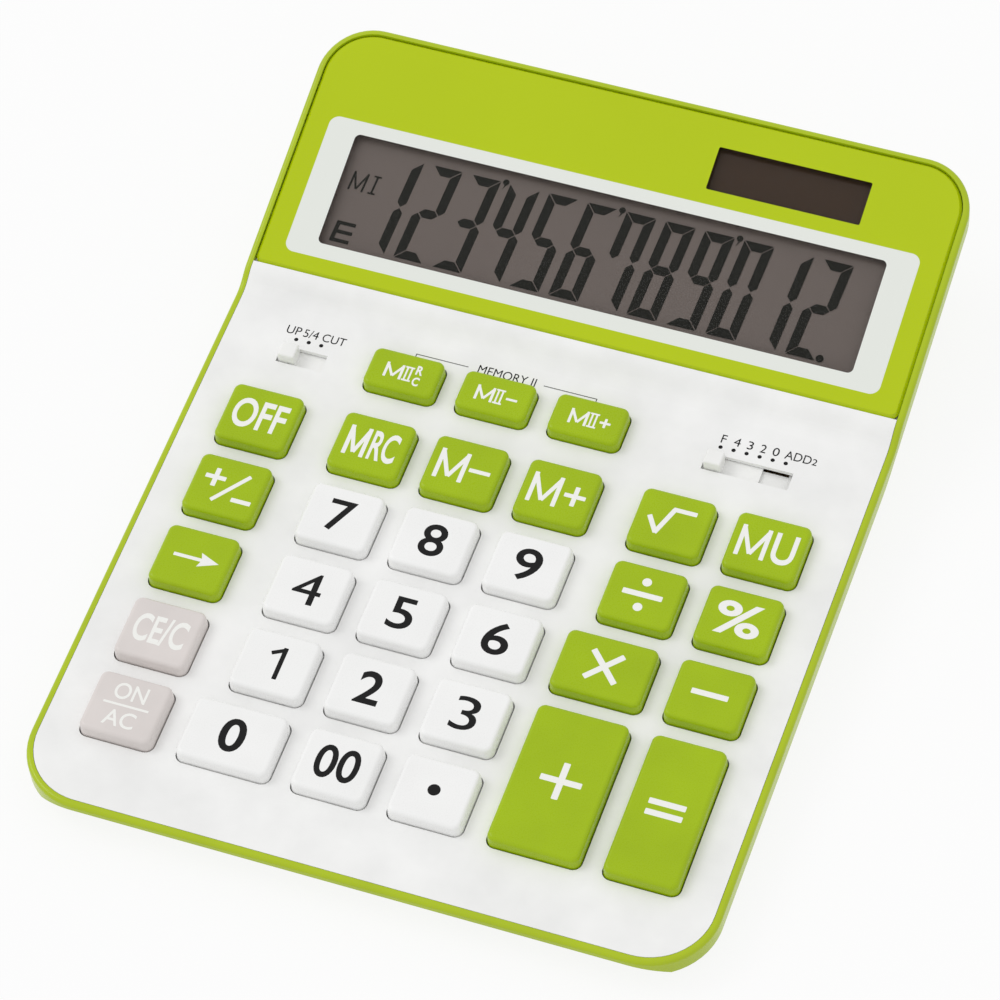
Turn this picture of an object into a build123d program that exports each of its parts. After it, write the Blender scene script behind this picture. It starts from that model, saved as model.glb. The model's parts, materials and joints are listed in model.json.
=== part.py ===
"""Desktop calculator with a tilted display, as separate pieces in millimetres.

Pieces are drawn in the panel frame: x to the right, y away from the user along the key
panel, z out of the panel, with the origin on the panel's front edge. The last step turns
and lifts them all into the desk frame: +Z up, origin under the middle of the case.
"""

from build123d import *
from functools import cache
import math
import os

# Case
CASE_WIDTH = 155.0
CASE_LENGTH = 205.7
FRONT_CORNER = 15.5
BACK_CORNER = 12.5
RIM_WALL = 1.5
RIM_DEPTH = 4.5
RIM_ROUND = 0.9
FLARE = 6.0
BODY_INSET = 7.0
FLOOR = 1.8
CHIN_TOP = 1.9
FRONT_HEIGHT = 8.4
PANEL_TILT = 2.5
UNDERSIDE_BEND = 30.0

# Key panel and the ramp up to the display
PANEL_THICKNESS = 2.0
PANEL_GAP = 0.1
RAMP_FROM_BACK = 68.7
RAMP_RUN = 4.3
RAMP_RISE = 2.5
RAMP_BEND = 7.0
DISPLAY_TILT = 13.7

# Display
LENS_START = 2.0
LENS_THICKNESS = 1.5
LENS_GAP = 0.15
LENS_BEVEL = 0.7
LENS_CORNER = 2.0
TRAY_THICKNESS = 2.0
TRAY_STEP_WALL = 2.5
LCD_SIDE_MARGIN = 12.5
LCD_LENGTH = 34.0
LCD_THICKNESS = 2.2
LCD_MIDDLE = 23.85
LCD_DROP = 0.4
LCD_PLAY = 0.2
REFLECTOR_THICKNESS = 0.3
FRAME_BORDER = 2.0
FRAME_BACK = 1.6
FRAME_EAR_WIDTH = 4.4
FRAME_EAR_LENGTH = 7.0
FRAME_EAR_SPACING = 20.0
PEG_RADIUS = 1.0
PEG_GAP = 0.1
PEG_HEAD = 0.6
RIBBON_SIDE_MARGIN = 15.0
RIBBON_THICKNESS = 0.2
RIBBON_STRIP = 3.0
RIBBON_LANDING = 6.0
RIBBON_GAP = 1.0
SOLAR_WIDTH = 39.0
SOLAR_LENGTH = 13.5
SOLAR_THICKNESS = 1.3
SOLAR_SIDE_MARGIN = 21.5
SOLAR_MIDDLE = 50.05
SOLAR_LIP = 1.5
SOLAR_DROP = 0.1

# Keys
KEYPAD_LEFT_MARGIN = 9.75
KEYPAD_RIGHT_MARGIN = 9.95
KEYPAD_BACK_MARGIN = 7.75
FIRST_ROW = 15.4
ROW_GAP = 3.85
SHORT_ROW_SPACE = 3.3
MEMORY_KEY_LENGTH = 11.3
COLUMN_GAP = 4.3
FUNCTION_COLUMN_SPACE = 4.9
OPERATOR_COLUMN_SPACE = 4.5
WIDE_ZERO = 4.4
WIDE_OPERATOR = 3.9
OPENING_CORNER = 2.2
KEY_GAP = 0.3
KEY_HEIGHT = 3.1
KEY_TAPER = 3.5
KEY_ROUND = 1.0
KEY_SKIN = 1.2
KEY_TRAVEL = 1.6
FLANGE_DROP = 0.3
FLANGE_REACH = 0.6
FLANGE_THICKNESS = 0.7
PLUNGER_RADIUS = 2.2

# Key mat and circuit board
MAT_CLEARANCE = 0.3
MAT_THICKNESS = 0.8
MAT_BORDER = 0.8
DOME_BASE_RADIUS = 3.8
DOME_TOP_RADIUS = 2.4
DOME_SKIN = 0.6
DOME_CLEARANCE = 0.05
BOARD_THICKNESS = 1.2
BOARD_SIDE_MARGIN = 9.0
BOARD_START = 14.6
BOARD_BACK_MARGIN = 7.0
BOARD_CORNER = 2.0
CHIP_RADIUS = 7.0
CHIP_HEIGHT = 1.6
CHIP_FROM_BACK = 30.0
CAPACITOR_RADIUS = 1.5
CAPACITOR_LENGTH = 6.0
RESISTOR_SIZE = (3.2, 1.6, 0.8)

# Slide switches
SWITCH_PITCH = 3.0
SWITCH_ROW_SHIFT = 1.2
SLOT_ACROSS = 4.6
KNOB_SIZE = 4.0
KNOB_HEIGHT = 2.4
KNOB_ROUND = 0.5
KNOB_PLAY = 0.45
SLIDER_DEPTH = 1.25
SLIDER_THICKNESS = 0.65
SLIDER_HEAD = 3.2
SLIDER_TAIL = 10.5
SLIDER_LIP = 0.9
POCKET_PLAY = 0.35
POCKET_SKIN = 0.95
ROUNDING_SPACE = 1.7
ROUNDING_STEPS = 2
DECIMAL_SIDE_MARGIN = 11.5
DECIMAL_STEPS = 5
STEM_SIZE = 2.0
STEM_SPACE = 0.3
RETAINER_THICKNESS = 0.8
RETAINER_SIDE_BORDER = 0.6
RETAINER_FRONT_BORDER = 1.0
RETAINER_BACK_BORDER = 3.2
RETAINER_PEG_RADIUS = 0.7
RETAINER_PEG_END = 3.0
WIPER_LENGTH = 6.0
WIPER_GAUGE = 0.3
WIPER_LIFT = 0.1

# Screws and posts
CASE_SCREW_SIDE_MARGIN = 13.5
CASE_SCREW_FRONT_MARGIN = 10.0
CASE_SCREW_BOARD_SPACE = 4.6
CASE_SCREW_BACK_MARGIN = 15.7
CASE_SCREW_RADIUS = 1.25
CASE_SCREW_LENGTH = 4.5
CASE_SCREW_HEAD_RADIUS = 2.3
CASE_SCREW_HEAD = 1.4
CASE_SCREW_SEAT = 1.6
CASE_SCREW_WEB = 1.5
CASE_POST_RADIUS = 3.0
BOARD_POST_SPACE = 3.8
SWITCH_POST_SPACE = 6.5
SWITCH_POST_SHIFT = 3.05
BOARD_SCREW_RADIUS = 0.9
BOARD_SCREW_LENGTH = 4.0
BOARD_SCREW_HEAD_RADIUS = 1.8
BOARD_SCREW_HEAD = 1.0
BOARD_POST_RADIUS = 2.2
HOLE_CLEARANCE = 0.2
HEAD_CLEARANCE = 0.4
THREAD_CLEARANCE = 0.05
TIP_CLEARANCE = 0.3
DRIVE_WIDTH = 0.6

# Battery, in a bay behind the board
CELL_RADIUS = 5.8
CELL_THICKNESS = 5.4
CELL_EDGE = 0.5
CELL_SIDE_MARGIN = 47.5
CELL_BACK_MARGIN = 40.7
CELL_GAP = 0.2
BAY_WALL = 1.2
CONTACT_GAUGE = 0.4
CONTACT_WIDTH = 6.0
CONTACT_TAB = 3.0
CONTACT_REACH = 5.0
DOOR_THICKNESS = 1.6
DOOR_LIP = 1.6
DOOR_LUG = 7.0
DOOR_PLAY = 0.2
DOOR_TONGUE = 1.2
DOOR_TONGUE_THICKNESS = 0.8
DOOR_SCREW_SKIN = 0.5
PAD_THICKNESS = 3.2
WIRE_RADIUS = 0.5
WIRE_BEND = 0.8
WIRE_DROP = 3.0
WIRE_SPACING = 6.8
WIRE_JOINT = 0.15

# Feet
FOOT_RADIUS = 5.0
FOOT_THICKNESS = 1.6
FOOT_STAND = 0.8
FOOT_GAP = 0.05
FOOT_ROUND = 0.4
FOOT_SIDE_MARGIN = 20.5
FOOT_FRONT_MARGIN = 18.0
FOOT_BACK_MARGIN = 25.7

# Worked out from the sizes above
FRONT_EDGE = -RIM_WALL
BACK_EDGE = CASE_LENGTH - RIM_WALL
FAR = CASE_LENGTH
HALF_WIDTH = CASE_WIDTH / 2
RAMP_START = CASE_LENGTH - RAMP_FROM_BACK
RAMP_END = RAMP_START + RAMP_RUN
DISPLAY_SLOPE = math.tan(math.radians(DISPLAY_TILT))
UPRIGHT = math.cos(math.radians(DISPLAY_TILT))
LENS_FRONT = RAMP_END + LENS_START * UPRIGHT
LENS_DEPTH = LENS_THICKNESS / UPRIGHT
TRAY_DEPTH = (LENS_THICKNESS + TRAY_THICKNESS) / UPRIGHT
COLUMN_SPACES = FUNCTION_COLUMN_SPACE + OPERATOR_COLUMN_SPACE
KEYPAD_WIDTH = CASE_WIDTH - KEYPAD_LEFT_MARGIN - KEYPAD_RIGHT_MARGIN
COLUMN_PITCH = (KEYPAD_WIDTH - COLUMN_SPACES + COLUMN_GAP) / 6
KEY_WIDTH = COLUMN_PITCH - COLUMN_GAP
FUNCTION_COLUMN = KEYPAD_LEFT_MARGIN + KEY_WIDTH / 2 - HALF_WIDTH
LONG_ROWS_END = RAMP_START - KEYPAD_BACK_MARGIN - MEMORY_KEY_LENGTH - SHORT_ROW_SPACE
ROW_PITCH = (LONG_ROWS_END - FIRST_ROW) / 5
KEY_LENGTH = ROW_PITCH - ROW_GAP
MEMORY_ROW = LONG_ROWS_END + SHORT_ROW_SPACE
KEY_FOOT = -(PANEL_THICKNESS + FLANGE_DROP + FLANGE_THICKNESS)
MAT_TOP = KEY_FOOT - KEY_TRAVEL - MAT_CLEARANCE
DOME_TOP = MAT_TOP + KEY_TRAVEL + DOME_SKIN
BOARD_TOP = MAT_TOP - MAT_THICKNESS
BOARD_UNDERSIDE = BOARD_TOP - BOARD_THICKNESS
BOARD_WIDTH = CASE_WIDTH - 2 * BOARD_SIDE_MARGIN
BOARD_END = RAMP_START - BOARD_BACK_MARGIN
CHIP_Y = BOARD_END - CHIP_FROM_BACK
LCD_WIDTH = CASE_WIDTH - 2 * LCD_SIDE_MARGIN
RIBBON_WIDTH = LCD_WIDTH - 2 * RIBBON_SIDE_MARGIN
SOLAR_MIDDLE_X = HALF_WIDTH - SOLAR_SIDE_MARGIN - SOLAR_WIDTH / 2
LCD_TOP = -(LENS_THICKNESS + LCD_DROP)
LCD_UNDERSIDE = LCD_TOP - LCD_THICKNESS
FRAME_TOP = -(LENS_THICKNESS + TRAY_THICKNESS)
FRAME_FLOOR = LCD_UNDERSIDE - REFLECTOR_THICKNESS
CELL_X = CELL_SIDE_MARGIN - HALF_WIDTH
CELL_Y = CASE_LENGTH - CELL_BACK_MARGIN
CELL_FLOOR = DOOR_THICKNESS + DOOR_PLAY
CELL_TOP = CELL_FLOOR + CELL_THICKNESS
BAY_WIDTH = 2 * (CELL_RADIUS + CELL_GAP)
BAY_LENGTH = 2 * (CELL_RADIUS + CELL_GAP) + CONTACT_GAUGE
DOOR_WIDTH = BAY_WIDTH + 2 * DOOR_LIP
DOOR_FRONT = CELL_Y - BAY_LENGTH / 2 - DOOR_LIP
DOOR_BACK = CELL_Y + BAY_LENGTH / 2 + DOOR_LIP + DOOR_LUG
DOOR_SCREW_Y = DOOR_BACK - DOOR_LUG / 2
DOOR_SCREW_SEAT = DOOR_SCREW_SKIN + BOARD_SCREW_HEAD
FOOT_X = HALF_WIDTH - FOOT_SIDE_MARGIN
FOOT_ROWS = (FOOT_FRONT_MARGIN, CASE_LENGTH - FOOT_BACK_MARGIN)
CASE_SCREW_X = HALF_WIDTH - CASE_SCREW_SIDE_MARGIN
CASE_SCREW_ROWS = (
    CASE_SCREW_FRONT_MARGIN,
    BOARD_END + CASE_SCREW_BOARD_SPACE,
    CASE_LENGTH - CASE_SCREW_BACK_MARGIN,
)

# The base frame lies flat on the underside of the case, with +Z up.
BASE = Location((0, 0, 0), (-PANEL_TILT, 0, 0)) * Location((0, 0, -FRONT_HEIGHT))
# The display frame lies on the lens, with its origin on the ramp's upper edge.
DISPLAY = Location((0, RAMP_END, RAMP_RISE), (DISPLAY_TILT, 0, 0))

COLUMNS = {
    "function": FUNCTION_COLUMN,
    "left": FUNCTION_COLUMN + FUNCTION_COLUMN_SPACE + COLUMN_PITCH,
    "centre": FUNCTION_COLUMN + FUNCTION_COLUMN_SPACE + 2 * COLUMN_PITCH,
    "right": FUNCTION_COLUMN + FUNCTION_COLUMN_SPACE + 3 * COLUMN_PITCH,
    "operator": FUNCTION_COLUMN + COLUMN_SPACES + 4 * COLUMN_PITCH,
    "outer": FUNCTION_COLUMN + COLUMN_SPACES + 5 * COLUMN_PITCH,
}

# The two slide switches stand on both sides of the short row.
SHORT_ROW_LEFT = COLUMNS["left"] - KEY_WIDTH / 2
SHORT_ROW_RIGHT = COLUMNS["right"] + KEY_WIDTH / 2
SWITCH_MIDDLE_Y = MEMORY_ROW + MEMORY_KEY_LENGTH / 2 - SWITCH_ROW_SHIFT
SLIDER_REACH = SLIDER_TAIL + ROUNDING_STEPS * SWITCH_PITCH
ROUNDING_FIRST_X = SHORT_ROW_LEFT - ROUNDING_SPACE - POCKET_PLAY - SLIDER_REACH
DECIMAL_FIRST_X = HALF_WIDTH - DECIMAL_SIDE_MARGIN - SLIDER_TAIL - DECIMAL_STEPS * SWITCH_PITCH

# The board hangs from posts that stand in the gaps between the keys.
GAP_BEFORE_DIGITS = SHORT_ROW_LEFT - (COLUMN_GAP + FUNCTION_COLUMN_SPACE) / 2
GAP_AFTER_DIGITS = SHORT_ROW_RIGHT + (COLUMN_GAP + OPERATOR_COLUMN_SPACE) / 2
BOARD_SCREW_PLACES = (
    (GAP_BEFORE_DIGITS, FIRST_ROW + 2 * ROW_PITCH - ROW_GAP / 2),
    (GAP_BEFORE_DIGITS, FIRST_ROW + 4 * ROW_PITCH - ROW_GAP / 2),
    (GAP_AFTER_DIGITS, FIRST_ROW + 4 * ROW_PITCH - ROW_GAP / 2),
    (-CASE_SCREW_X, LONG_ROWS_END - ROW_GAP + BOARD_POST_SPACE),
    (CASE_SCREW_X, LONG_ROWS_END - ROW_GAP + BOARD_POST_SPACE),
    (SHORT_ROW_RIGHT + SWITCH_POST_SPACE, MEMORY_ROW + SWITCH_POST_SHIFT),
)

# Each key has its column and its row, counted from the front. Row 6 is the short row.
KEY_PLACES = {
    "key_on_clear_all": ("function", 1),
    "key_clear_entry": ("function", 2),
    "key_backspace": ("function", 3),
    "key_change_sign": ("function", 4),
    "key_off": ("function", 5),
    "key_zero": ("left", 1),
    "key_one": ("left", 2),
    "key_four": ("left", 3),
    "key_seven": ("left", 4),
    "key_memory_recall": ("left", 5),
    "key_second_memory_recall": ("left", 6),
    "key_double_zero": ("centre", 1),
    "key_two": ("centre", 2),
    "key_five": ("centre", 3),
    "key_eight": ("centre", 4),
    "key_memory_minus": ("centre", 5),
    "key_second_memory_minus": ("centre", 6),
    "key_point": ("right", 1),
    "key_three": ("right", 2),
    "key_six": ("right", 3),
    "key_nine": ("right", 4),
    "key_memory_plus": ("right", 5),
    "key_second_memory_plus": ("right", 6),
    "key_plus": ("operator", 1),
    "key_multiply": ("operator", 3),
    "key_divide": ("operator", 4),
    "key_square_root": ("operator", 5),
    "key_equals": ("outer", 1),
    "key_minus": ("outer", 3),
    "key_percent": ("outer", 4),
    "key_markup": ("outer", 5),
}
SHORT_ROW = 6
TWO_ROW_KEYS = ("key_plus", "key_equals")
EXTRA_WIDTH = {
    "key_zero": WIDE_ZERO,
    "key_plus": WIDE_OPERATOR,
    "key_multiply": WIDE_OPERATOR,
}


def key_opening(name):
    """Middle x, middle y, width and length of a key's opening in the panel."""
    column, row = KEY_PLACES[name]
    front = MEMORY_ROW if row == SHORT_ROW else FIRST_ROW + (row - 1) * ROW_PITCH
    length = MEMORY_KEY_LENGTH if row == SHORT_ROW else KEY_LENGTH
    if name in TWO_ROW_KEYS:
        length += ROW_PITCH
    extra = EXTRA_WIDTH.get(name, 0)
    return COLUMNS[column] - extra / 2, front + length / 2, KEY_WIDTH + extra, length


def plan(inset):
    """The case's outline seen from above, drawn in by an inset."""
    sheet = Rectangle(CASE_WIDTH - 2 * inset, CASE_LENGTH - 2 * inset)
    sheet = fillet(sheet.vertices().sort_by(Axis.Y)[:2], FRONT_CORNER - inset)
    sheet = fillet(sheet.vertices().sort_by(Axis.Y)[-2:], BACK_CORNER - inset)
    return Pos(0, (FRONT_EDGE + BACK_EDGE) / 2) * sheet


def column_of(sheet):
    """A tall solid over and under a flat outline."""
    return extrude(sheet, FAR, both=True)


def sideways(outline):
    """A solid wider than the case, from an outline in the y-z plane."""
    return extrude(Plane.YZ * make_face(outline), CASE_WIDTH, both=True)


def under_top(depth):
    """Everything lower than the case's upper surface by at least this depth."""
    line = FilletPolyline(
        (-FAR, -depth),
        (RAMP_START, -depth),
        (RAMP_END, RAMP_RISE - depth),
        (RAMP_END + FAR, RAMP_RISE + FAR * DISPLAY_SLOPE - depth),
        radius=RAMP_BEND,
    )
    return sideways(line + Polyline(line @ 1, (RAMP_END + FAR, -2 * FAR), (-FAR, -2 * FAR), line @ 0))


def over_underside(depth):
    """Everything higher than a line this deep below the panel and the display."""
    bend = RAMP_END - RAMP_RISE / DISPLAY_SLOPE
    line = FilletPolyline(
        (-FAR, -depth),
        (bend, -depth),
        (bend + FAR, FAR * DISPLAY_SLOPE - depth),
        radius=UNDERSIDE_BEND,
    )
    return sideways(line + Polyline(line @ 1, (bend + FAR, 2 * FAR), (-FAR, 2 * FAR), line @ 0))


def over_base(height):
    """Everything at least this high above the plane of the underside."""
    return BASE * Pos(0, 0, height + FAR) * Box(2 * CASE_WIDTH, 4 * FAR, 2 * FAR)


def behind(y):
    """Everything further back than this y."""
    return Pos(0, y + FAR, 0) * Box(2 * CASE_WIDTH, 2 * FAR, 4 * FAR)


def chin_cut(inset):
    """What the slanting underside of the front edge takes away."""
    top = inset * math.sqrt(2) - CHIN_TOP
    high = (FRONT_EDGE - FAR, top + FAR)
    low = (FRONT_EDGE - FAR, top - FAR)
    return sideways(Polyline(high, low, (FRONT_EDGE + FAR, top - FAR), high))


def border(faces):
    """The edges that belong to only one of these faces."""
    edges = [edge for face in faces for edge in face.edges()]
    return [edge for edge in edges if sum(edge.is_same(other) for other in edges) == 1]


def case_block(inset):
    """The space within the case's outer surface, drawn in by an inset and open upwards."""
    upper = column_of(plan(inset)) & over_underside(RIM_DEPTH + FLARE - inset)
    upper = chamfer(border(upper.faces().filter_by(lambda face: face.normal_at().Z < -0.5)), FLARE)
    lower = column_of(plan(inset + BODY_INSET)) - over_underside(RIM_DEPTH)
    block = (upper + lower) & over_base(FLOOR * inset / RIM_WALL)
    return block - chin_cut(inset)


def base_y(y, z=0.0):
    """How far back a point of the panel frame lies along the underside."""
    turn = math.radians(PANEL_TILT)
    return y * math.cos(turn) - z * math.sin(turn)


def on_base(x, y):
    """A place on the underside, below a point of the panel."""
    return BASE * Pos(x, base_y(y), 0)


def both_sides(x, rows):
    """The places at these rows, on both sides of the case."""
    return [(side * x, y) for y in rows for side in (-1, 1)]


def rod(radius, low, high):
    """An upright cylinder between two heights."""
    return Pos(0, 0, (low + high) / 2) * Cylinder(radius, high - low)


def block(width, length, low, high):
    """An upright box between two heights."""
    return Pos(0, 0, (low + high) / 2) * Box(width, length, high - low)


def screw(radius, length, head_radius, head):
    """A pan head screw that points up, with the seat of its head at the origin."""
    whole = rod(radius, 0, length) + rod(head_radius, -head, 0)
    cross = Rectangle(DRIVE_WIDTH, head_radius) + Rectangle(head_radius, DRIVE_WIDTH)
    return whole - Pos(0, 0, -head) * extrude(cross, head / 2)


def build_bottom_case():
    """The lower shell, whose wall is the rim that shows all round the panel."""
    outside = case_block(0) & under_top(0)
    top = outside.faces().filter_by(lambda face: face.normal_at().Z > 0.5)
    shell = fillet(border(top), RIM_ROUND) - case_block(RIM_WALL)
    well = CASE_SCREW_HEAD_RADIUS + HEAD_CLEARANCE
    for x, y in both_sides(CASE_SCREW_X, CASE_SCREW_ROWS):
        web = CASE_SCREW_SEAT + CASE_SCREW_WEB
        shell += on_base(x, y) * rod(well + BAY_WALL, FLOOR / 2, web)
        shell -= on_base(x, y) * rod(well, -FLOOR, CASE_SCREW_SEAT)
        shell -= on_base(x, y) * rod(CASE_SCREW_RADIUS + HOLE_CLEARANCE, 0, web + FLOOR)
    for x, y in both_sides(FOOT_X, FOOT_ROWS):
        shell -= on_base(x, y) * rod(FOOT_RADIUS + FOOT_GAP, -FLOOR, FOOT_THICKNESS - FOOT_STAND)
    return shell + battery_bay() - battery_room()


def build_rubber_feet():
    """Four round pads that the case stands on."""
    pad = rod(FOOT_RADIUS, -FOOT_STAND, FOOT_THICKNESS - FOOT_STAND)
    pad = fillet(pad.edges().sort_by(Axis.Z)[0], FOOT_ROUND)
    return Compound([on_base(x, y) * pad for x, y in both_sides(FOOT_X, FOOT_ROWS)])


def in_bay(y):
    """A place in the base frame on the battery's centre line."""
    return BASE * Pos(CELL_X, y, 0)


def battery_bay():
    """The walls round the battery and the thick floor that holds its door."""
    middle = (DOOR_FRONT + DOOR_BACK) / 2
    length = DOOR_BACK - DOOR_FRONT + 2 * (BAY_WALL + DOOR_TONGUE)
    pad = in_bay(middle) * block(DOOR_WIDTH + 2 * BAY_WALL, length, FLOOR / 2, PAD_THICKNESS)
    roof = CELL_TOP + CONTACT_GAUGE + BAY_WALL
    walls = block(BAY_WIDTH + 2 * BAY_WALL, BAY_LENGTH + 2 * BAY_WALL, FLOOR / 2, roof)
    post = rod(BOARD_POST_RADIUS, FLOOR, DOOR_SCREW_SEAT + BOARD_SCREW_LENGTH + BAY_WALL)
    return pad + in_bay(CELL_Y) * walls + in_bay(DOOR_SCREW_Y) * post


def battery_room():
    """What the battery, its door, the door's screw and the contacts need cut away."""
    middle = (DOOR_FRONT + DOOR_BACK) / 2
    length = DOOR_BACK - DOOR_FRONT + 2 * DOOR_PLAY
    recess = in_bay(middle) * block(DOOR_WIDTH + 2 * DOOR_PLAY, length, -FLOOR, CELL_FLOOR)
    bay = in_bay(CELL_Y) * block(BAY_WIDTH, BAY_LENGTH, 0, CELL_TOP + CONTACT_GAUGE)
    tongue_low = DOOR_THICKNESS - DOOR_TONGUE_THICKNESS - DOOR_PLAY
    tongue_length = 2 * (DOOR_TONGUE + DOOR_PLAY)
    tongue = in_bay(DOOR_FRONT) * block(BAY_WIDTH, tongue_length, tongue_low, CELL_FLOOR)
    thread = BOARD_SCREW_RADIUS + THREAD_CLEARANCE
    tip = DOOR_SCREW_SEAT + BOARD_SCREW_LENGTH + TIP_CLEARANCE
    hole = in_bay(DOOR_SCREW_Y) * rod(thread, 0, tip)
    return recess + bay + tongue + hole + contact_slots()


def contact_slots():
    """Two slots in the bay's front wall, for the tabs of the contacts."""
    front = CELL_Y - BAY_LENGTH / 2
    top = CELL_TOP + CONTACT_GAUGE
    tall = CONTACT_GAUGE + DOOR_PLAY
    across = CONTACT_TAB + 2 * DOOR_PLAY
    slot = block(across, 4 * BAY_WALL, top - tall, top)
    return [in_bay(front) * Pos(side * CONTACT_TAB, 0, 0) * slot for side in (-1, 1)]


def build_battery_door():
    """A cover held by a tongue at the front and a screw at the back."""
    middle = (DOOR_FRONT + DOOR_BACK) / 2
    door = in_bay(middle) * block(DOOR_WIDTH, DOOR_BACK - DOOR_FRONT, 0, DOOR_THICKNESS)
    low = DOOR_THICKNESS - DOOR_TONGUE_THICKNESS
    tongue = block(BAY_WIDTH - 2 * DOOR_PLAY, 2 * DOOR_TONGUE, low, DOOR_THICKNESS)
    door += in_bay(DOOR_FRONT) * tongue
    well = BOARD_SCREW_HEAD_RADIUS + HEAD_CLEARANCE
    door -= in_bay(DOOR_SCREW_Y) * rod(well, -FLOOR, BOARD_SCREW_HEAD)
    hole = BOARD_SCREW_RADIUS + HOLE_CLEARANCE
    return door - in_bay(DOOR_SCREW_Y) * rod(hole, 0, DOOR_THICKNESS + FLOOR)


def build_battery_door_screw():
    """The small screw that holds the battery door."""
    pin = screw(BOARD_SCREW_RADIUS, BOARD_SCREW_LENGTH, BOARD_SCREW_HEAD_RADIUS, BOARD_SCREW_HEAD)
    return in_bay(DOOR_SCREW_Y) * Pos(0, 0, BOARD_SCREW_HEAD) * pin


def build_button_cell():
    """The round battery, flat in its bay."""
    cell = rod(CELL_RADIUS, CELL_FLOOR, CELL_TOP)
    return in_bay(CELL_Y + CONTACT_GAUGE / 2) * fillet(cell.edges().filter_by(GeomType.CIRCLE), CELL_EDGE)


def contact_tab(side):
    """The strip that leads a contact out of the bay, for its wire."""
    front = CELL_Y - BAY_LENGTH / 2
    strip = block(CONTACT_TAB, CONTACT_REACH, CELL_TOP, CELL_TOP + CONTACT_GAUGE)
    reach = CONTACT_REACH / 2 - CONTACT_GAUGE
    return in_bay(front - reach) * Pos(side * CONTACT_TAB, 0, 0) * strip


def build_battery_contact_minus():
    """The leaf on top of the cell, with its tab."""
    leaf = in_bay(CELL_Y) * block(CONTACT_WIDTH, CELL_RADIUS, CELL_TOP, CELL_TOP + CONTACT_GAUGE)
    front = CELL_Y - BAY_LENGTH / 2
    arm_length = BAY_LENGTH / 2
    arm = block(CONTACT_TAB - 2 * DOOR_PLAY, arm_length, CELL_TOP, CELL_TOP + CONTACT_GAUGE)
    arm = in_bay(front + arm_length / 2) * Pos(-CONTACT_TAB, 0, 0) * arm
    return leaf + arm + contact_tab(-1)


def build_battery_contact_plus():
    """The upright leaf beside the cell, with its tab."""
    front = CELL_Y - BAY_LENGTH / 2
    leaf = block(CONTACT_WIDTH, CONTACT_GAUGE, CELL_FLOOR + CELL_EDGE, CELL_TOP + CONTACT_GAUGE)
    leaf = in_bay(front + CONTACT_GAUGE / 2) * Pos(CONTACT_TAB, 0, 0) * leaf
    return leaf + contact_tab(1)


def panel_openings():
    """The openings of every key, as one flat sheet."""
    sheet = Sketch()
    for name in KEY_PLACES:
        x, y, width, length = key_opening(name)
        sheet += Pos(x, y) * RectangleRounded(width, length, OPENING_CORNER)
    return sheet


def post_height_cut(y):
    """What trims a post so that it ends inside the panel or the display tray."""
    if y < LENS_FRONT:
        return under_top(PANEL_THICKNESS / 2)
    return under_top((LENS_DEPTH + TRAY_DEPTH) / 2)


def in_display(x, v, w=0.0):
    """A place in the display frame: x to the right, v up the lens, w out of it."""
    return DISPLAY * Pos(x, v, w)


def build_top_case():
    """The key panel and, one step lower, the tray that carries the lens."""
    inside = case_block(RIM_WALL + PANEL_GAP)
    edge = LENS_FRONT - LENS_GAP
    panel = inside & (under_top(0) - under_top(PANEL_THICKNESS))
    tray = inside & (under_top(LENS_DEPTH) - under_top(TRAY_DEPTH))
    shell = (panel - behind(edge)) + (tray & behind(edge - TRAY_STEP_WALL))
    for x, y in both_sides(CASE_SCREW_X, CASE_SCREW_ROWS):
        low = CASE_SCREW_SEAT + CASE_SCREW_WEB
        shell += (on_base(x, y) * rod(CASE_POST_RADIUS, low, FAR)) & post_height_cut(y)
        thread = CASE_SCREW_RADIUS + THREAD_CLEARANCE
        tip = CASE_SCREW_SEAT + CASE_SCREW_LENGTH + TIP_CLEARANCE
        shell -= on_base(x, y) * rod(thread, 0, tip)
    for x, y in BOARD_SCREW_PLACES:
        shell += Pos(x, y) * rod(BOARD_POST_RADIUS, BOARD_TOP, -PANEL_THICKNESS / 2)
        thread = BOARD_SCREW_RADIUS + THREAD_CLEARANCE
        tip = BOARD_UNDERSIDE + BOARD_SCREW_LENGTH + TIP_CLEARANCE
        shell -= Pos(x, y) * rod(thread, BOARD_UNDERSIDE, tip)
    shell -= extrude(panel_openings(), KEY_HEIGHT, both=True)
    for first_x, steps in ((ROUNDING_FIRST_X, ROUNDING_STEPS), (DECIMAL_FIRST_X, DECIMAL_STEPS)):
        shell -= switch_room(first_x, steps)
        for x, y in retainer_peg_places(first_x, steps):
            shell += Pos(x, y) * rod(RETAINER_PEG_RADIUS, -RETAINER_PEG_END, -PANEL_THICKNESS / 2)
    opening = block(LCD_WIDTH + 2 * LCD_PLAY, LCD_LENGTH + 2 * LCD_PLAY, FRAME_FLOOR, 0)
    shell -= in_display(0, LCD_MIDDLE) * opening
    shell -= in_display(SOLAR_MIDDLE_X, SOLAR_MIDDLE) * solar_room()
    for place in peg_places():
        peg_end = FRAME_TOP - FRAME_BACK - PEG_HEAD
        shell += place * rod(PEG_RADIUS, peg_end, FRAME_TOP + TRAY_THICKNESS / 2)
    return shell


def solar_room():
    """A pocket for the solar cell, with a lip that holds it up."""
    floor = -(LENS_THICKNESS + SOLAR_DROP + SOLAR_THICKNESS)
    pocket = block(SOLAR_WIDTH + 2 * LCD_PLAY, SOLAR_LENGTH + 2 * LCD_PLAY, floor, 0)
    through = block(SOLAR_WIDTH - 2 * SOLAR_LIP, SOLAR_LENGTH - 2 * SOLAR_LIP, FRAME_FLOOR, 0)
    return pocket + through


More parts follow.
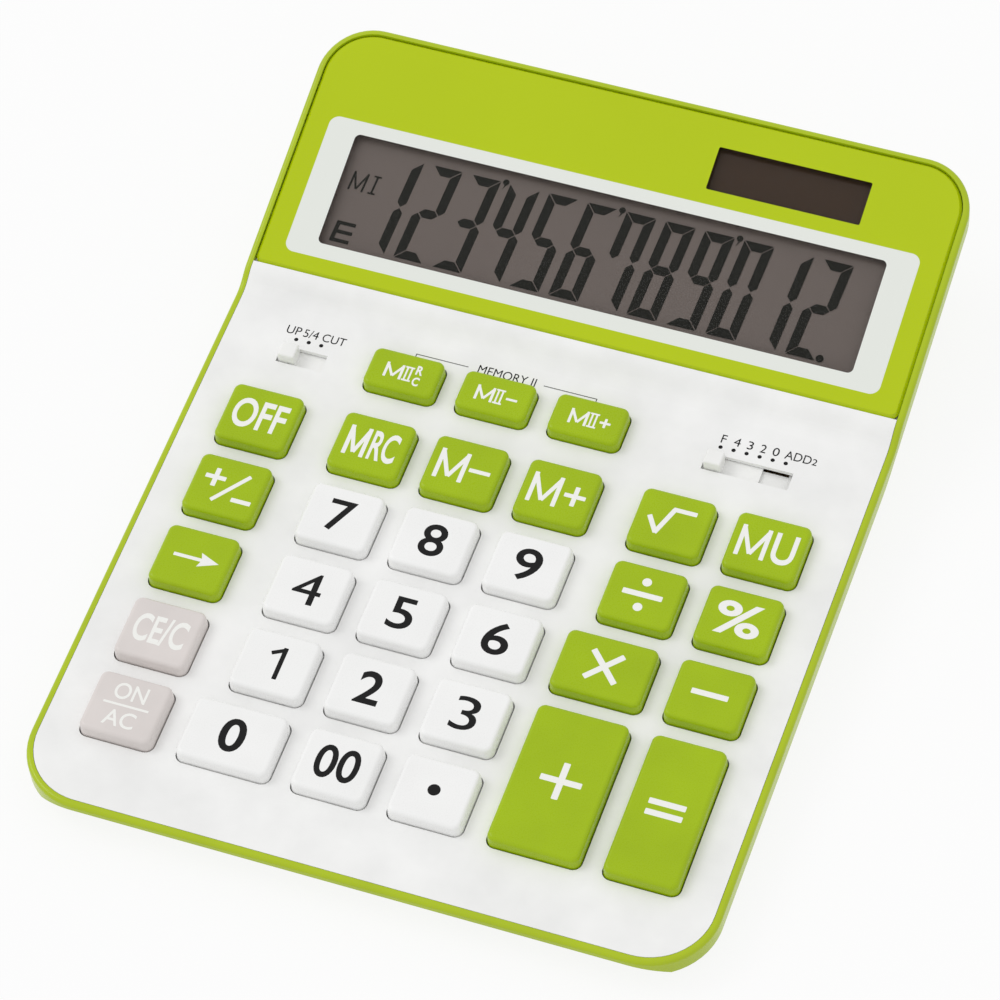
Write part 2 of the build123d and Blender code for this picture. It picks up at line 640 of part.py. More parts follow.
def peg_places():
    """The places of the four pegs that hold the LCD frame."""
    x = LCD_WIDTH / 2 + LCD_PLAY + FRAME_BORDER + FRAME_EAR_WIDTH / 2
    rise = FRAME_EAR_SPACING / 2
    return [in_display(s * x, LCD_MIDDLE + t * rise) for s in (-1, 1) for t in (-1, 1)]


def stem_y():
    """The middle of a switch's stem, which stands beside the slot and out of sight."""
    return SWITCH_MIDDLE_Y + SLOT_ACROSS / 2 + STEM_SPACE + STEM_SIZE / 2


def slider_edges():
    """The front and back edges of a slider, which reaches back over its stem."""
    return SWITCH_MIDDLE_Y - SLOT_ACROSS / 2 - SLIDER_LIP, stem_y() + STEM_SIZE / 2


def slab(left, right, front, back, low, high):
    """An upright box between two sides, two ends and two heights."""
    return Pos((left + right) / 2, (front + back) / 2) * block(right - left, back - front, low, high)


def pocket_sides(first_x, steps):
    """The left and right ends of a slider's pocket."""
    right = first_x + steps * SWITCH_PITCH + SLIDER_TAIL + POCKET_PLAY
    return first_x - SLIDER_HEAD - POCKET_PLAY, right


def switch_room(first_x, steps):
    """The slot for a switch's knob and, from below, the pocket for its slider."""
    travel = steps * SWITCH_PITCH
    slot_width = travel + KNOB_SIZE + 2 * KNOB_PLAY
    slot = Pos(first_x + travel / 2, SWITCH_MIDDLE_Y) * Box(slot_width, SLOT_ACROSS, KNOB_HEIGHT)
    front, back = slider_edges()
    left, right = pocket_sides(first_x, steps)
    return slot + slab(left, right, front - POCKET_PLAY, back + POCKET_PLAY, BOARD_TOP, -POCKET_SKIN)


def retainer_peg_places(first_x, steps):
    """The places of the two pegs behind a switch's pocket."""
    left, right = pocket_sides(first_x, steps)
    y = slider_edges()[1] + POCKET_PLAY + RETAINER_BACK_BORDER / 2
    inset = RETAINER_BACK_BORDER / 2
    return [(left + inset, y), (right - inset, y)]


def build_retainer(first_x, steps):
    """The plate that closes a pocket from below, with a slot for the stem."""
    left, right = pocket_sides(first_x, steps)
    front, back = slider_edges()
    front -= POCKET_PLAY + RETAINER_FRONT_BORDER
    back += POCKET_PLAY + RETAINER_BACK_BORDER
    low = -PANEL_THICKNESS - RETAINER_THICKNESS
    side = RETAINER_SIDE_BORDER
    plate = slab(left - side, right + side, front, back, low, -PANEL_THICKNESS)
    reach = STEM_SIZE / 2 + POCKET_PLAY
    last_x = first_x + steps * SWITCH_PITCH
    plate -= slab(first_x - reach, last_x + reach, stem_y() - reach, stem_y() + reach, 2 * low, 0)
    for x, y in retainer_peg_places(first_x, steps):
        plate -= Pos(x, y) * rod(RETAINER_PEG_RADIUS + PEG_GAP, 2 * low, 0)
    return plate


def build_switch_retainers():
    """The two plates, one under each slider."""
    rounding = build_retainer(ROUNDING_FIRST_X, ROUNDING_STEPS)
    return Compound([rounding, build_retainer(DECIMAL_FIRST_X, DECIMAL_STEPS)])


def build_knob(first_x):
    """A switch's knob on its slider, with the stem that reaches down to the board."""
    at = Pos(first_x, SWITCH_MIDDLE_Y)
    knob = at * block(KNOB_SIZE, KNOB_SIZE, -SLIDER_DEPTH, KNOB_HEIGHT)
    knob = fillet(knob.edges().filter_by(Axis.Z) + knob.edges().sort_by(Axis.Z)[-4:], KNOB_ROUND)
    low = -SLIDER_DEPTH - SLIDER_THICKNESS
    front, back = slider_edges()
    slider = slab(first_x - SLIDER_HEAD, first_x + SLIDER_TAIL, front, back, low, -SLIDER_DEPTH)
    stem = block(STEM_SIZE, STEM_SIZE, BOARD_TOP + WIPER_LIFT + WIPER_GAUGE, low)
    return knob + slider + Pos(first_x, stem_y()) * stem


def build_wiper(first_x):
    """The spring contact under a switch's stem."""
    low = BOARD_TOP + WIPER_LIFT
    return Pos(first_x, stem_y()) * block(STEM_SIZE, WIPER_LENGTH, low, low + WIPER_GAUGE)


def build_display_lens():
    """The clear window over the whole display, flush with the rim."""
    lens = column_of(plan(RIM_WALL + LENS_GAP)) & behind(LENS_FRONT)
    front = lens.edges().filter_by(Axis.Z).sort_by(Axis.Y)[:2]
    lens = fillet(front, LENS_CORNER) & (under_top(0) - under_top(LENS_DEPTH))
    top = lens.faces().filter_by(lambda face: face.normal_at().Z > 0.5)
    return chamfer(top.edges(), LENS_BEVEL)


def build_lcd_glass():
    """The liquid crystal display: two sheets of glass, taken as one plate."""
    return in_display(0, LCD_MIDDLE) * block(LCD_WIDTH, LCD_LENGTH, LCD_UNDERSIDE, LCD_TOP)


def build_lcd_reflector():
    """The bright foil behind the glass, clear of the ribbon's strip."""
    length = LCD_LENGTH - RIBBON_STRIP - RIBBON_GAP
    foil = block(LCD_WIDTH, length, FRAME_FLOOR, LCD_UNDERSIDE)
    return in_display(0, LCD_MIDDLE + (LCD_LENGTH - length) / 2) * foil


def build_lcd_frame():
    """The tub that presses the glass up to the lens, with four ears on the pegs."""
    inner_width = LCD_WIDTH + 2 * LCD_PLAY
    inner_length = LCD_LENGTH + 2 * LCD_PLAY
    outer_width = inner_width + 2 * FRAME_BORDER
    outer_length = inner_length + 2 * FRAME_BORDER
    low = FRAME_FLOOR - FRAME_BACK
    at = in_display(0, LCD_MIDDLE)
    frame = at * block(outer_width, outer_length, low, FRAME_TOP)
    ear = block(2 * FRAME_EAR_WIDTH, FRAME_EAR_LENGTH, FRAME_TOP - FRAME_BACK, FRAME_TOP)
    for place in peg_places():
        frame += place * Pos(-math.copysign(FRAME_EAR_WIDTH / 2, place.position.X), 0, 0) * ear
    frame -= at * block(inner_width, inner_length, FRAME_FLOOR, 0)
    notch_length = FRAME_BORDER + LCD_PLAY + RIBBON_STRIP
    notch = block(RIBBON_WIDTH + 2 * RIBBON_GAP, notch_length, 2 * low, 0)
    frame -= in_display(0, LCD_MIDDLE - outer_length / 2 + notch_length / 2) * notch
    for place in peg_places():
        frame -= place * rod(PEG_RADIUS + PEG_GAP, 2 * low, 0)
    return frame


def display_point(v, w):
    """The y and z, in the panel frame, of a point of the display frame."""
    place = in_display(0, v, w).position
    return place.Y, place.Z


def build_lcd_ribbon():
    """The printed film that joins the board to the glass."""
    half = RIBBON_THICKNESS / 2
    glass_edge = LCD_MIDDLE - LCD_LENGTH / 2
    path = Polyline(
        (BOARD_END - RIBBON_LANDING, BOARD_UNDERSIDE - half),
        (BOARD_END + RIBBON_STRIP, BOARD_UNDERSIDE - half),
        display_point(glass_edge - RIBBON_STRIP, FRAME_FLOOR - RIBBON_STRIP / 2),
        display_point(glass_edge - RIBBON_GAP, LCD_UNDERSIDE - half),
        display_point(glass_edge + RIBBON_STRIP, LCD_UNDERSIDE - half),
    )
    return extrude(Plane.YZ * trace(path, RIBBON_THICKNESS), RIBBON_WIDTH / 2, both=True)


def build_solar_cell():
    """The dark solar cell behind its own window."""
    top = -(LENS_THICKNESS + SOLAR_DROP)
    return in_display(SOLAR_MIDDLE_X, SOLAR_MIDDLE) * block(SOLAR_WIDTH, SOLAR_LENGTH, top - SOLAR_THICKNESS, top)


@cache
def key_cap(width, length):
    """A hollow cap with its flange and its plunger, for an opening of this size."""
    wide = width - 2 * KEY_GAP
    long = length - 2 * KEY_GAP
    corner = OPENING_CORNER - KEY_GAP
    skirt = extrude(Pos(0, 0, KEY_FOOT) * RectangleRounded(wide, long, corner), -KEY_FOOT)
    head = extrude(RectangleRounded(wide, long, corner), KEY_HEIGHT, taper=KEY_TAPER)
    cap = skirt + head
    cap = fillet(cap.faces().sort_by(Axis.Z)[-1].edges(), KEY_ROUND)
    reach = width + 2 * FLANGE_REACH
    flange = RectangleRounded(reach, length + 2 * FLANGE_REACH, OPENING_CORNER + FLANGE_REACH)
    cap += extrude(Pos(0, 0, KEY_FOOT) * flange, FLANGE_THICKNESS)
    hollow = RectangleRounded(wide - 2 * KEY_SKIN, long - 2 * KEY_SKIN, corner / 2)
    cap -= extrude(Pos(0, 0, KEY_FOOT) * hollow, KEY_HEIGHT - KEY_SKIN - KEY_FOOT)
    return cap + rod(PLUNGER_RADIUS, DOME_TOP + DOME_CLEARANCE, KEY_HEIGHT - KEY_SKIN / 2)


def build_key(name):
    """One key, standing in its opening."""
    x, y, width, length = key_opening(name)
    return Pos(x, y) * key_cap(width, length)


def board_outline(inset):
    """The board's outline, drawn in by an inset."""
    length = BOARD_END - BOARD_START
    sheet = RectangleRounded(BOARD_WIDTH - 2 * inset, length - 2 * inset, BOARD_CORNER)
    return Pos(0, (BOARD_START + BOARD_END) / 2) * sheet


def build_circuit_board():
    """The board that all the keys and both switches work on."""
    board = Pos(0, 0, BOARD_UNDERSIDE) * extrude(board_outline(0), BOARD_THICKNESS)
    for x, y in BOARD_SCREW_PLACES:
        hole = rod(BOARD_SCREW_RADIUS + HOLE_CLEARANCE, 2 * BOARD_UNDERSIDE, 0)
        board -= Pos(x, y) * hole
    return board


def mat_outline():
    """The mat's outline: the five long rows, and a tongue under the short row."""
    top_row = FIRST_ROW + 4 * ROW_PITCH + KEY_LENGTH + MAT_BORDER
    width = BOARD_WIDTH - 2 * MAT_BORDER
    start = BOARD_START + MAT_BORDER
    main = Pos(0, (start + top_row) / 2) * Rectangle(width, top_row - start)
    end = MEMORY_ROW + MEMORY_KEY_LENGTH
    tongue_width = 2 * COLUMN_PITCH + KEY_WIDTH + 2 * MAT_BORDER
    tongue = Pos(COLUMNS["centre"], (start + end) / 2) * Rectangle(tongue_width, end - start)
    return main + tongue


def dome_spots(radius):
    """A round spot under the middle of every key."""
    places = [key_opening(name)[:2] for name in KEY_PLACES]
    return Sketch() + [Pos(x, y) * Circle(radius) for x, y in places]


def build_key_mat():
    """The rubber mat, with a hollow dome under every key."""
    lean = math.degrees(math.atan2(DOME_BASE_RADIUS - DOME_TOP_RADIUS, DOME_TOP - MAT_TOP))
    mat = Pos(0, 0, BOARD_TOP) * extrude(mat_outline(), MAT_THICKNESS)
    mat += Pos(0, 0, MAT_TOP) * extrude(dome_spots(DOME_BASE_RADIUS), DOME_TOP - MAT_TOP, taper=lean)
    inside = DOME_BASE_RADIUS - DOME_SKIN
    mat -= Pos(0, 0, BOARD_TOP) * extrude(dome_spots(inside), MAT_THICKNESS)
    mat -= Pos(0, 0, MAT_TOP) * extrude(dome_spots(inside), DOME_TOP - MAT_TOP - DOME_SKIN, taper=lean)
    for x, y in BOARD_SCREW_PLACES:
        mat -= Pos(x, y) * rod(BOARD_POST_RADIUS + HOLE_CLEARANCE, BOARD_TOP, MAT_TOP)
    return mat


def build_chip_blob():
    """The round cover over the chip, under the board."""
    cover = Pos(0, CHIP_Y) * rod(CHIP_RADIUS, BOARD_UNDERSIDE - CHIP_HEIGHT, BOARD_UNDERSIDE)
    return fillet(cover.edges().sort_by(Axis.Z)[0], CHIP_HEIGHT * 0.6)


def build_board_components():
    """A capacitor and three resistors, under the board."""
    side = CHIP_RADIUS + CAPACITOR_LENGTH
    y = CHIP_Y + CHIP_RADIUS
    can = Rot(0, 90, 0) * Cylinder(CAPACITOR_RADIUS, CAPACITOR_LENGTH)
    found = [Pos(side, y, BOARD_UNDERSIDE - CAPACITOR_RADIUS) * can]
    width, length, height = RESISTOR_SIZE
    for step in range(3):
        chip = block(width, length, BOARD_UNDERSIDE - height, BOARD_UNDERSIDE)
        found.append(Pos(-side, y - step * 2 * length) * chip)
    return Compound(found)


def board_wire(x, y, z):
    """A wire down from a terminal, forward under the board's back edge and up to the board."""
    end = BOARD_END - RIBBON_LANDING - 2 * WIRE_RADIUS
    low = BOARD_UNDERSIDE - WIRE_DROP
    path = FilletPolyline((x, y, z), (x, y, low), (x, end, low), (x, end, BOARD_UNDERSIDE), radius=WIRE_BEND)
    return sweep(Plane(path @ 0, z_dir=path % 0) * Circle(WIRE_RADIUS), path=path)


def build_solar_wires():
    """The solar cell's two wires to the board."""
    low = -(LENS_THICKNESS + SOLAR_DROP + SOLAR_THICKNESS)
    terminal = in_display(0, SOLAR_MIDDLE, low).position
    places = [SOLAR_MIDDLE_X + side * WIRE_SPACING / 2 for side in (-1, 1)]
    return Compound([board_wire(x, terminal.Y, terminal.Z - WIRE_JOINT) for x in places])


def build_battery_wires():
    """The battery's two wires to the board."""
    reach = CONTACT_REACH - 2 * CONTACT_GAUGE - WIRE_RADIUS
    terminal = (BASE * Pos(0, CELL_Y - BAY_LENGTH / 2 - reach, CELL_TOP)).position
    places = [CELL_X + side * CONTACT_TAB for side in (-1, 1)]
    return Compound([board_wire(x, terminal.Y, terminal.Z - WIRE_JOINT) for x in places])


def build_case_screws():
    """Six long screws that hold the two halves of the case together."""
    pin = screw(CASE_SCREW_RADIUS, CASE_SCREW_LENGTH, CASE_SCREW_HEAD_RADIUS, CASE_SCREW_HEAD)
    raised = Pos(0, 0, CASE_SCREW_SEAT) * pin
    return Compound([on_base(x, y) * raised for x, y in both_sides(CASE_SCREW_X, CASE_SCREW_ROWS)])


def build_board_screws():
    """The screws that hold the board to the key panel's posts."""
    pin = screw(BOARD_SCREW_RADIUS, BOARD_SCREW_LENGTH, BOARD_SCREW_HEAD_RADIUS, BOARD_SCREW_HEAD)
    return Compound([Pos(x, y, BOARD_UNDERSIDE) * pin for x, y in BOARD_SCREW_PLACES])


def all_pieces():
    """Every piece by name, in the panel frame."""
    pieces = {name: build_key(name) for name in KEY_PLACES}
    pieces["bottom_case"] = build_bottom_case()
    pieces["top_case"] = build_top_case()
    pieces["display_lens"] = build_display_lens()
    pieces["lcd_glass"] = build_lcd_glass()
    pieces["lcd_reflector"] = build_lcd_reflector()
    pieces["lcd_frame"] = build_lcd_frame()
    pieces["lcd_ribbon"] = build_lcd_ribbon()
    pieces["solar_cell"] = build_solar_cell()
    pieces["solar_wires"] = build_solar_wires()
    pieces["rounding_switch_knob"] = build_knob(ROUNDING_FIRST_X)
    pieces["rounding_switch_wiper"] = build_wiper(ROUNDING_FIRST_X)
    pieces["decimal_switch_knob"] = build_knob(DECIMAL_FIRST_X)
    pieces["decimal_switch_wiper"] = build_wiper(DECIMAL_FIRST_X)
    pieces["switch_retainers"] = build_switch_retainers()
    pieces["key_mat"] = build_key_mat()
    pieces["circuit_board"] = build_circuit_board()
    pieces["chip_blob"] = build_chip_blob()
    pieces["board_components"] = build_board_components()
    pieces["board_screws"] = build_board_screws()
    pieces["battery_door"] = build_battery_door()
    pieces["battery_door_screw"] = build_battery_door_screw()
    pieces["button_cell"] = build_button_cell()
    pieces["battery_contact_plus"] = build_battery_contact_plus()
    pieces["battery_contact_minus"] = build_battery_contact_minus()
    pieces["battery_wires"] = build_battery_wires()
    pieces["case_screws"] = build_case_screws()
    pieces["rubber_feet"] = build_rubber_feet()
    return pieces


def main():
    """Stands every piece on the desk and writes it to its own file."""
    os.makedirs("parts", exist_ok=True)
    pieces = all_pieces()
    level = BASE.inverse()
    middle = (level * pieces["bottom_case"]).bounding_box().center().Y
    for name, piece in pieces.items():
        export_step(Pos(0, -middle, FOOT_STAND) * level * piece, f"parts/{name}.step")


main()
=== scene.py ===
"""Looks for a desktop calculator: its finishes, its printed marks, its display and a studio."""

from __future__ import annotations

import json
import logging
import math
from dataclasses import dataclass
from enum import Enum

import bmesh
import bpy
from mathutils import Euler, Matrix, Vector

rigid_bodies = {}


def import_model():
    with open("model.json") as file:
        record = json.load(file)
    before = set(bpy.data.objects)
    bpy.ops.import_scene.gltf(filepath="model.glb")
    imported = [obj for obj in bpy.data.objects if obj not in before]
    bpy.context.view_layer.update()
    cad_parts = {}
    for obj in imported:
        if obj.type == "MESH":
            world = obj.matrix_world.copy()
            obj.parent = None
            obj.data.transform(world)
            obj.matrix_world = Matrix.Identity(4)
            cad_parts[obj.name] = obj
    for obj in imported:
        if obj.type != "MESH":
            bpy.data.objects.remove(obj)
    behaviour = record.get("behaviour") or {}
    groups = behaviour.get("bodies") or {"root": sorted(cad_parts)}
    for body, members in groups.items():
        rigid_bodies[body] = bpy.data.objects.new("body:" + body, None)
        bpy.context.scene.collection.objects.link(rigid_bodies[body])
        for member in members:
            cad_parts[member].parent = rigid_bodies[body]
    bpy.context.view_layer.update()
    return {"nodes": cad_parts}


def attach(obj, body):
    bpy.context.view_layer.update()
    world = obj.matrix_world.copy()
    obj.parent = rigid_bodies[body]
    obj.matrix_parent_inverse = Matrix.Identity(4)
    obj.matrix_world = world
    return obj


log = logging.getLogger("calculator")

MM = 0.001
Colour = tuple[float, float, float]
Point = tuple[float, float]

# Lengths are in millimetres and angles in degrees. The panel's front edge and tilt place the key panel's
# plane in the part's own frame, and the lens's foot and tilt place the display's plane on the panel's.
PANEL_FRONT = (0.0, -100.982, 9.2)
PANEL_TILT = 2.5
LENS_FOOT = (0.0, 141.3, 2.5)
LENS_TILT = 13.7

# The print covers the lens down to this height on the display's plane, and its back is left clear.
LENS_PRINT_FLOOR = -0.75
# How high a cap's flat top stands over the panel's plane.
KEY_HEIGHT = 3.1
# A printed mark's thickness, and how much higher each mark of a piece lies than the last.
PRINT_HEIGHT = 0.02
LAYER_STEP = 0.002

# The sockets of the Mix node that take and give colours, which share their names with others.
MIX_FIRST, MIX_SECOND, MIX_RESULT = 6, 7, 2
# The middle range of values that most of a noise texture keeps to.
NOISE_LOW, NOISE_HIGH = 0.3, 0.7
# How wide the soft edge of a printed shape is.
EDGE_FADE = 0.05


def tilted(place: tuple[float, float, float], tilt: float) -> Matrix:
    """Gives the frame, in metres, of a plane that starts at a place and rises by a tilt."""
    return Matrix.Translation([c * MM for c in place]) @ Matrix.Rotation(math.radians(tilt), 4, "X")


PANEL_PLANE = tilted(PANEL_FRONT, PANEL_TILT)
DISPLAY_PLANE = PANEL_PLANE @ tilted(LENS_FOOT, LENS_TILT)


@dataclass(frozen=True)
class RoundedBox:
    """A rectangle with round corners on the display's plane, in millimetres."""

    x: float
    y: float
    half_width: float
    half_length: float
    corner: float


LENS_BORDER = RoundedBox(0, 23.65, 70.2, 17.42, 2.3)
LENS_WINDOW = RoundedBox(0, 23.84, 63.2, 14.01, 1.3)
SOLAR_WINDOW = RoundedBox(36.5, 50.05, 18.0, 5.35, 0.4)


def linear(colour: Colour) -> tuple[float, float, float, float]:
    """Turns a colour written as 0 to 255 sRGB into the linear values that sockets take.

    Args:
        colour: Red, green and blue, 0 to 255.

    Returns:
        Linear red, green, blue and an alpha of 1.
    """
    parts = [c / 255 for c in colour]
    parts = [p / 12.92 if p <= 0.04045 else ((p + 0.055) / 1.055) ** 2.4 for p in parts]
    return (*parts, 1.0)


class Graph:
    """One material's node tree, with short ways to add nodes and join them."""

    def __init__(self, name: str) -> None:
        """Starts an empty material.

        Args:
            name: The material's name.
        """
        self.material = bpy.data.materials.new(name)
        self.material.use_nodes = True
        self.nodes = self.material.node_tree.nodes
        self.links = self.material.node_tree.links
        self.nodes.clear()
        self.place = self.add("ShaderNodeTexCoord").outputs["Object"]

    def add(self, kind: str, **settings: object) -> bpy.types.Node:
        """Adds a node and sets its properties.

        Args:
            kind: Blender's name of the node type.
            settings: Properties of the node itself, not its sockets.

        Returns:
            The new node.
        """
        node = self.nodes.new(kind)
        for key, value in settings.items():
            setattr(node, key, value)
        return node

    def feed(self, socket: bpy.types.NodeSocket, value: object) -> None:
        """Sets a socket to a plain value, or joins another socket to it."""
        if isinstance(value, bpy.types.NodeSocket):
            self.links.new(value, socket)
        else:
            socket.default_value = value

    def math(self, operation: str, *values: object, clamp: bool = False) -> bpy.types.NodeSocket:
        """Adds one step of arithmetic.

        Args:
            operation: Blender's name of the step.
            values: Numbers or sockets, in order.
            clamp: Whether the result is kept within 0 and 1.

        Returns:
            The result's socket.
        """
        node = self.add("ShaderNodeMath", operation=operation, use_clamp=clamp)
        for socket, value in zip(node.inputs, values):
            self.feed(socket, value)
        return node.outputs[0]

    def vector(self, operation: str, *values: object) -> bpy.types.Node:
        """Adds one step of vector arithmetic.

        Args:
            operation: Blender's name of the step.
            values: Vectors or sockets, in order.

        Returns:
            The step's node, as its result's socket depends on the operation.
        """
        node = self.add("ShaderNodeVectorMath", operation=operation)
        for socket, value in zip(node.inputs, values):
            self.feed(socket, value)
        return node

    def blend(self, share: object, low: object, high: object) -> bpy.types.NodeSocket:
        """Mixes two colours.

        Args:
            share: How much of the second colour shows.
            low: The first colour, or its socket.
            high: The second colour, or its socket.

        Returns:
            The mixed colour's socket.
        """
        node = self.add("ShaderNodeMix", data_type="RGBA")
        self.feed(node.inputs["Factor"], share)
        self.feed(node.inputs[MIX_FIRST], low)
        self.feed(node.inputs[MIX_SECOND], high)
        return node.outputs[MIX_RESULT]

    def noise(self, size: float, detail: float) -> bpy.types.NodeSocket:
        """Adds noise over the object.

        Args:
            size: About how many millimetres across its blots are.
            detail: How many finer layers it has.

        Returns:
            The noise's socket.
        """
        node = self.add("ShaderNodeTexNoise")
        node.inputs["Scale"].default_value = 1 / (size * MM)
        node.inputs["Detail"].default_value = detail
        self.links.new(self.place, node.inputs["Vector"])
        return node.outputs["Fac"]

    def spread(self, value: bpy.types.NodeSocket, low: float, high: float) -> bpy.types.NodeSocket:
        """Stretches a noise's middle range.

        Args:
            value: The noise's socket.
            low: What the bottom of its middle range becomes.
            high: What the top of its middle range becomes.

        Returns:
            The stretched noise's socket.
        """
        node = self.add("ShaderNodeMapRange")
        self.feed(node.inputs["Value"], value)
        range_ends = {"From Min": NOISE_LOW, "From Max": NOISE_HIGH, "To Min": low, "To Max": high}
        for name, number in range_ends.items():
            node.inputs[name].default_value = number
        return node.outputs["Result"]

    def relief(self, height: bpy.types.NodeSocket, depth: float) -> bpy.types.NodeSocket:
        """Adds a bump.

        Args:
            height: The bump's height map.
            depth: How many millimetres deep it is.

        Returns:
            The bent normal's socket.
        """
        node = self.add("ShaderNodeBump")
        node.inputs["Distance"].default_value = depth * MM
        self.links.new(height, node.inputs["Height"])
        return node.outputs["Normal"]

    def surface(self, **sockets: object) -> bpy.types.Material:
        """Ends the tree in one Principled shader.

        Args:
            sockets: Values or sockets by input name, with _ for a blank.

        Returns:
            The finished material.
        """
        shader = self.add("ShaderNodeBsdfPrincipled")
        for key, value in sockets.items():
            self.feed(shader.inputs[key.replace("_", " ")], value)
        out = self.add("ShaderNodeOutputMaterial")
        self.links.new(shader.outputs[0], out.inputs["Surface"])
        return self.material

    def on_display(self, x: float = 0.0, y: float = 0.0) -> bpy.types.NodeSocket:
        """Measures places from a point of the display's plane.

        Args:
            x: The point's distance across, in millimetres.
            y: The point's distance up the plane, in millimetres.

        Returns:
            The socket of the places, along the plane's own axes.
        """
        place = self.add("ShaderNodeMapping", vector_type="TEXTURE")
        self.links.new(self.place, place.inputs["Vector"])
        place.inputs["Location"].default_value = DISPLAY_PLANE @ (Vector((x, y, 0)) * MM)
        place.inputs["Rotation"].default_value = DISPLAY_PLANE.to_euler()
        return place.outputs[0]

    def inside(self, box: RoundedBox) -> bpy.types.NodeSocket:
        """Makes a mask that is 1 within a rounded rectangle.

        Args:
            box: The rectangle on the display's plane.

        Returns:
            The mask's socket.
        """
        away = self.vector("ABSOLUTE", self.on_display(box.x, box.y)).outputs[0]
        straight = ((box.half_width - box.corner) * MM, (box.half_length - box.corner) * MM, 1.0)
        away = self.vector("SUBTRACT", away, straight).outputs[0]
        away = self.vector("MAXIMUM", away, (0, 0, 0)).outputs[0]
        reach = self.vector("LENGTH", away).outputs["Value"]
        gap = self.math("SUBTRACT", box.corner * MM, reach)
        return self.math("MULTIPLY_ADD", gap, 1 / (EDGE_FADE * MM), 0.5, clamp=True)

    def below(self, height: float) -> bpy.types.NodeSocket:
        """Makes a mask that is 1 under a height.

        Args:
            height: The height over the display's plane, in millimetres.

        Returns:
            The mask's socket.
        """
        axes = self.add("ShaderNodeSeparateXYZ")
        self.links.new(self.on_display(), axes.inputs[0])
        return self.math("LESS_THAN", axes.outputs["Z"], height * MM)


@dataclass(frozen=True)
class MouldedPlastic:
    """A moulded plastic surface with a fine grain and a slightly uneven gloss.

    The grain and the cloud are how many millimetres across its fine and its broad blots are, the depth
    is the grain's height in millimetres, and the mottle is how far its colour varies, as a share.
    """

    name: str
    colour: Colour
    roughness: float = 0.3
    grain: float = 0.35
    depth: float = 0.004
    mottle: float = 0.02
    shine: float = 0.3
    cloud: float = 14.0

    def make(self) -> bpy.types.Material:
        """Builds the material."""
        g = Graph(self.name)
        broad = g.noise(self.cloud, 3.0)
        low = linear(tuple(c * (1 - self.mottle) for c in self.colour))
        high = linear(tuple(min(255, c * (1 + self.mottle)) for c in self.colour))
        fine = g.noise(self.grain, 2.0)
        return g.surface(
            Base_Color=g.blend(g.spread(broad, 0, 1), low, high),
            Roughness=g.spread(fine, self.roughness * 0.9, self.roughness * 1.12),
            Normal=g.relief(fine, self.depth),
            Specular_IOR_Level=self.shine,
        )


@dataclass(frozen=True)
class Ink:
    """A screen printed mark: thin, slightly uneven and a little duller than plastic."""

    name: str
    colour: Colour
    roughness: float = 0.4
    shine: float = 0.12
    speck: float = 0.18
    depth: float = 0.003

    def make(self) -> bpy.types.Material:
        """Builds the material."""
        g = Graph(self.name)
        speck = g.noise(self.speck, 3.0)
        low = linear(tuple(c * 0.97 for c in self.colour))
        return g.surface(
            Base_Color=g.blend(g.spread(speck, 0, 1), low, linear(self.colour)),
            Roughness=g.spread(speck, self.roughness * 0.9, self.roughness * 1.1),
            Normal=g.relief(speck, self.depth),
            Specular_IOR_Level=self.shine,
        )


@dataclass(frozen=True)
class Metal:
    """A plain metal with fine brushed lines along one axis."""

    name: str
    colour: Colour
    roughness: float = 0.3
    stretch: tuple[float, float, float] = (1.0, 12.0, 12.0)
    line: float = 1.2
    depth: float = 0.003

    def make(self) -> bpy.types.Material:
        """Builds the material."""
        g = Graph(self.name)
        drawn = g.add("ShaderNodeMapping")
        g.links.new(g.place, drawn.inputs["Vector"])
        drawn.inputs["Scale"].default_value = self.stretch
        g.place = drawn.outputs[0]
        lines = g.noise(self.line, 4.0)
        dull = tuple(c * 0.9 for c in self.colour)
        return g.surface(
            Base_Color=g.blend(g.spread(lines, 0, 1), linear(dull), linear(self.colour)),
            Metallic=1.0,
            Roughness=g.spread(lines, self.roughness * 0.8, self.roughness * 1.2),
            Normal=g.relief(lines, self.depth),
        )


@dataclass(frozen=True)
class Rubber:
    """A soft matt rubber with a faint bloom."""

    name: str
    colour: Colour
    roughness: float = 0.75
    sheen: float = 0.15
    bloom: float = 2.5
    grain: float = 0.3
    depth: float = 0.01

    def make(self) -> bpy.types.Material:
        """Builds the material."""
        g = Graph(self.name)
        bloom = g.noise(self.bloom, 4.0)
        pale = tuple(min(255, c * 1.12 + 4) for c in self.colour)
        return g.surface(
            Base_Color=g.blend(g.spread(bloom, 0, 0.7), linear(self.colour), linear(pale)),
            Roughness=g.spread(bloom, self.roughness * 0.92, 0.95),
            Normal=g.relief(g.noise(self.grain, 3.0), self.depth),
            Sheen_Weight=self.sheen,
        )


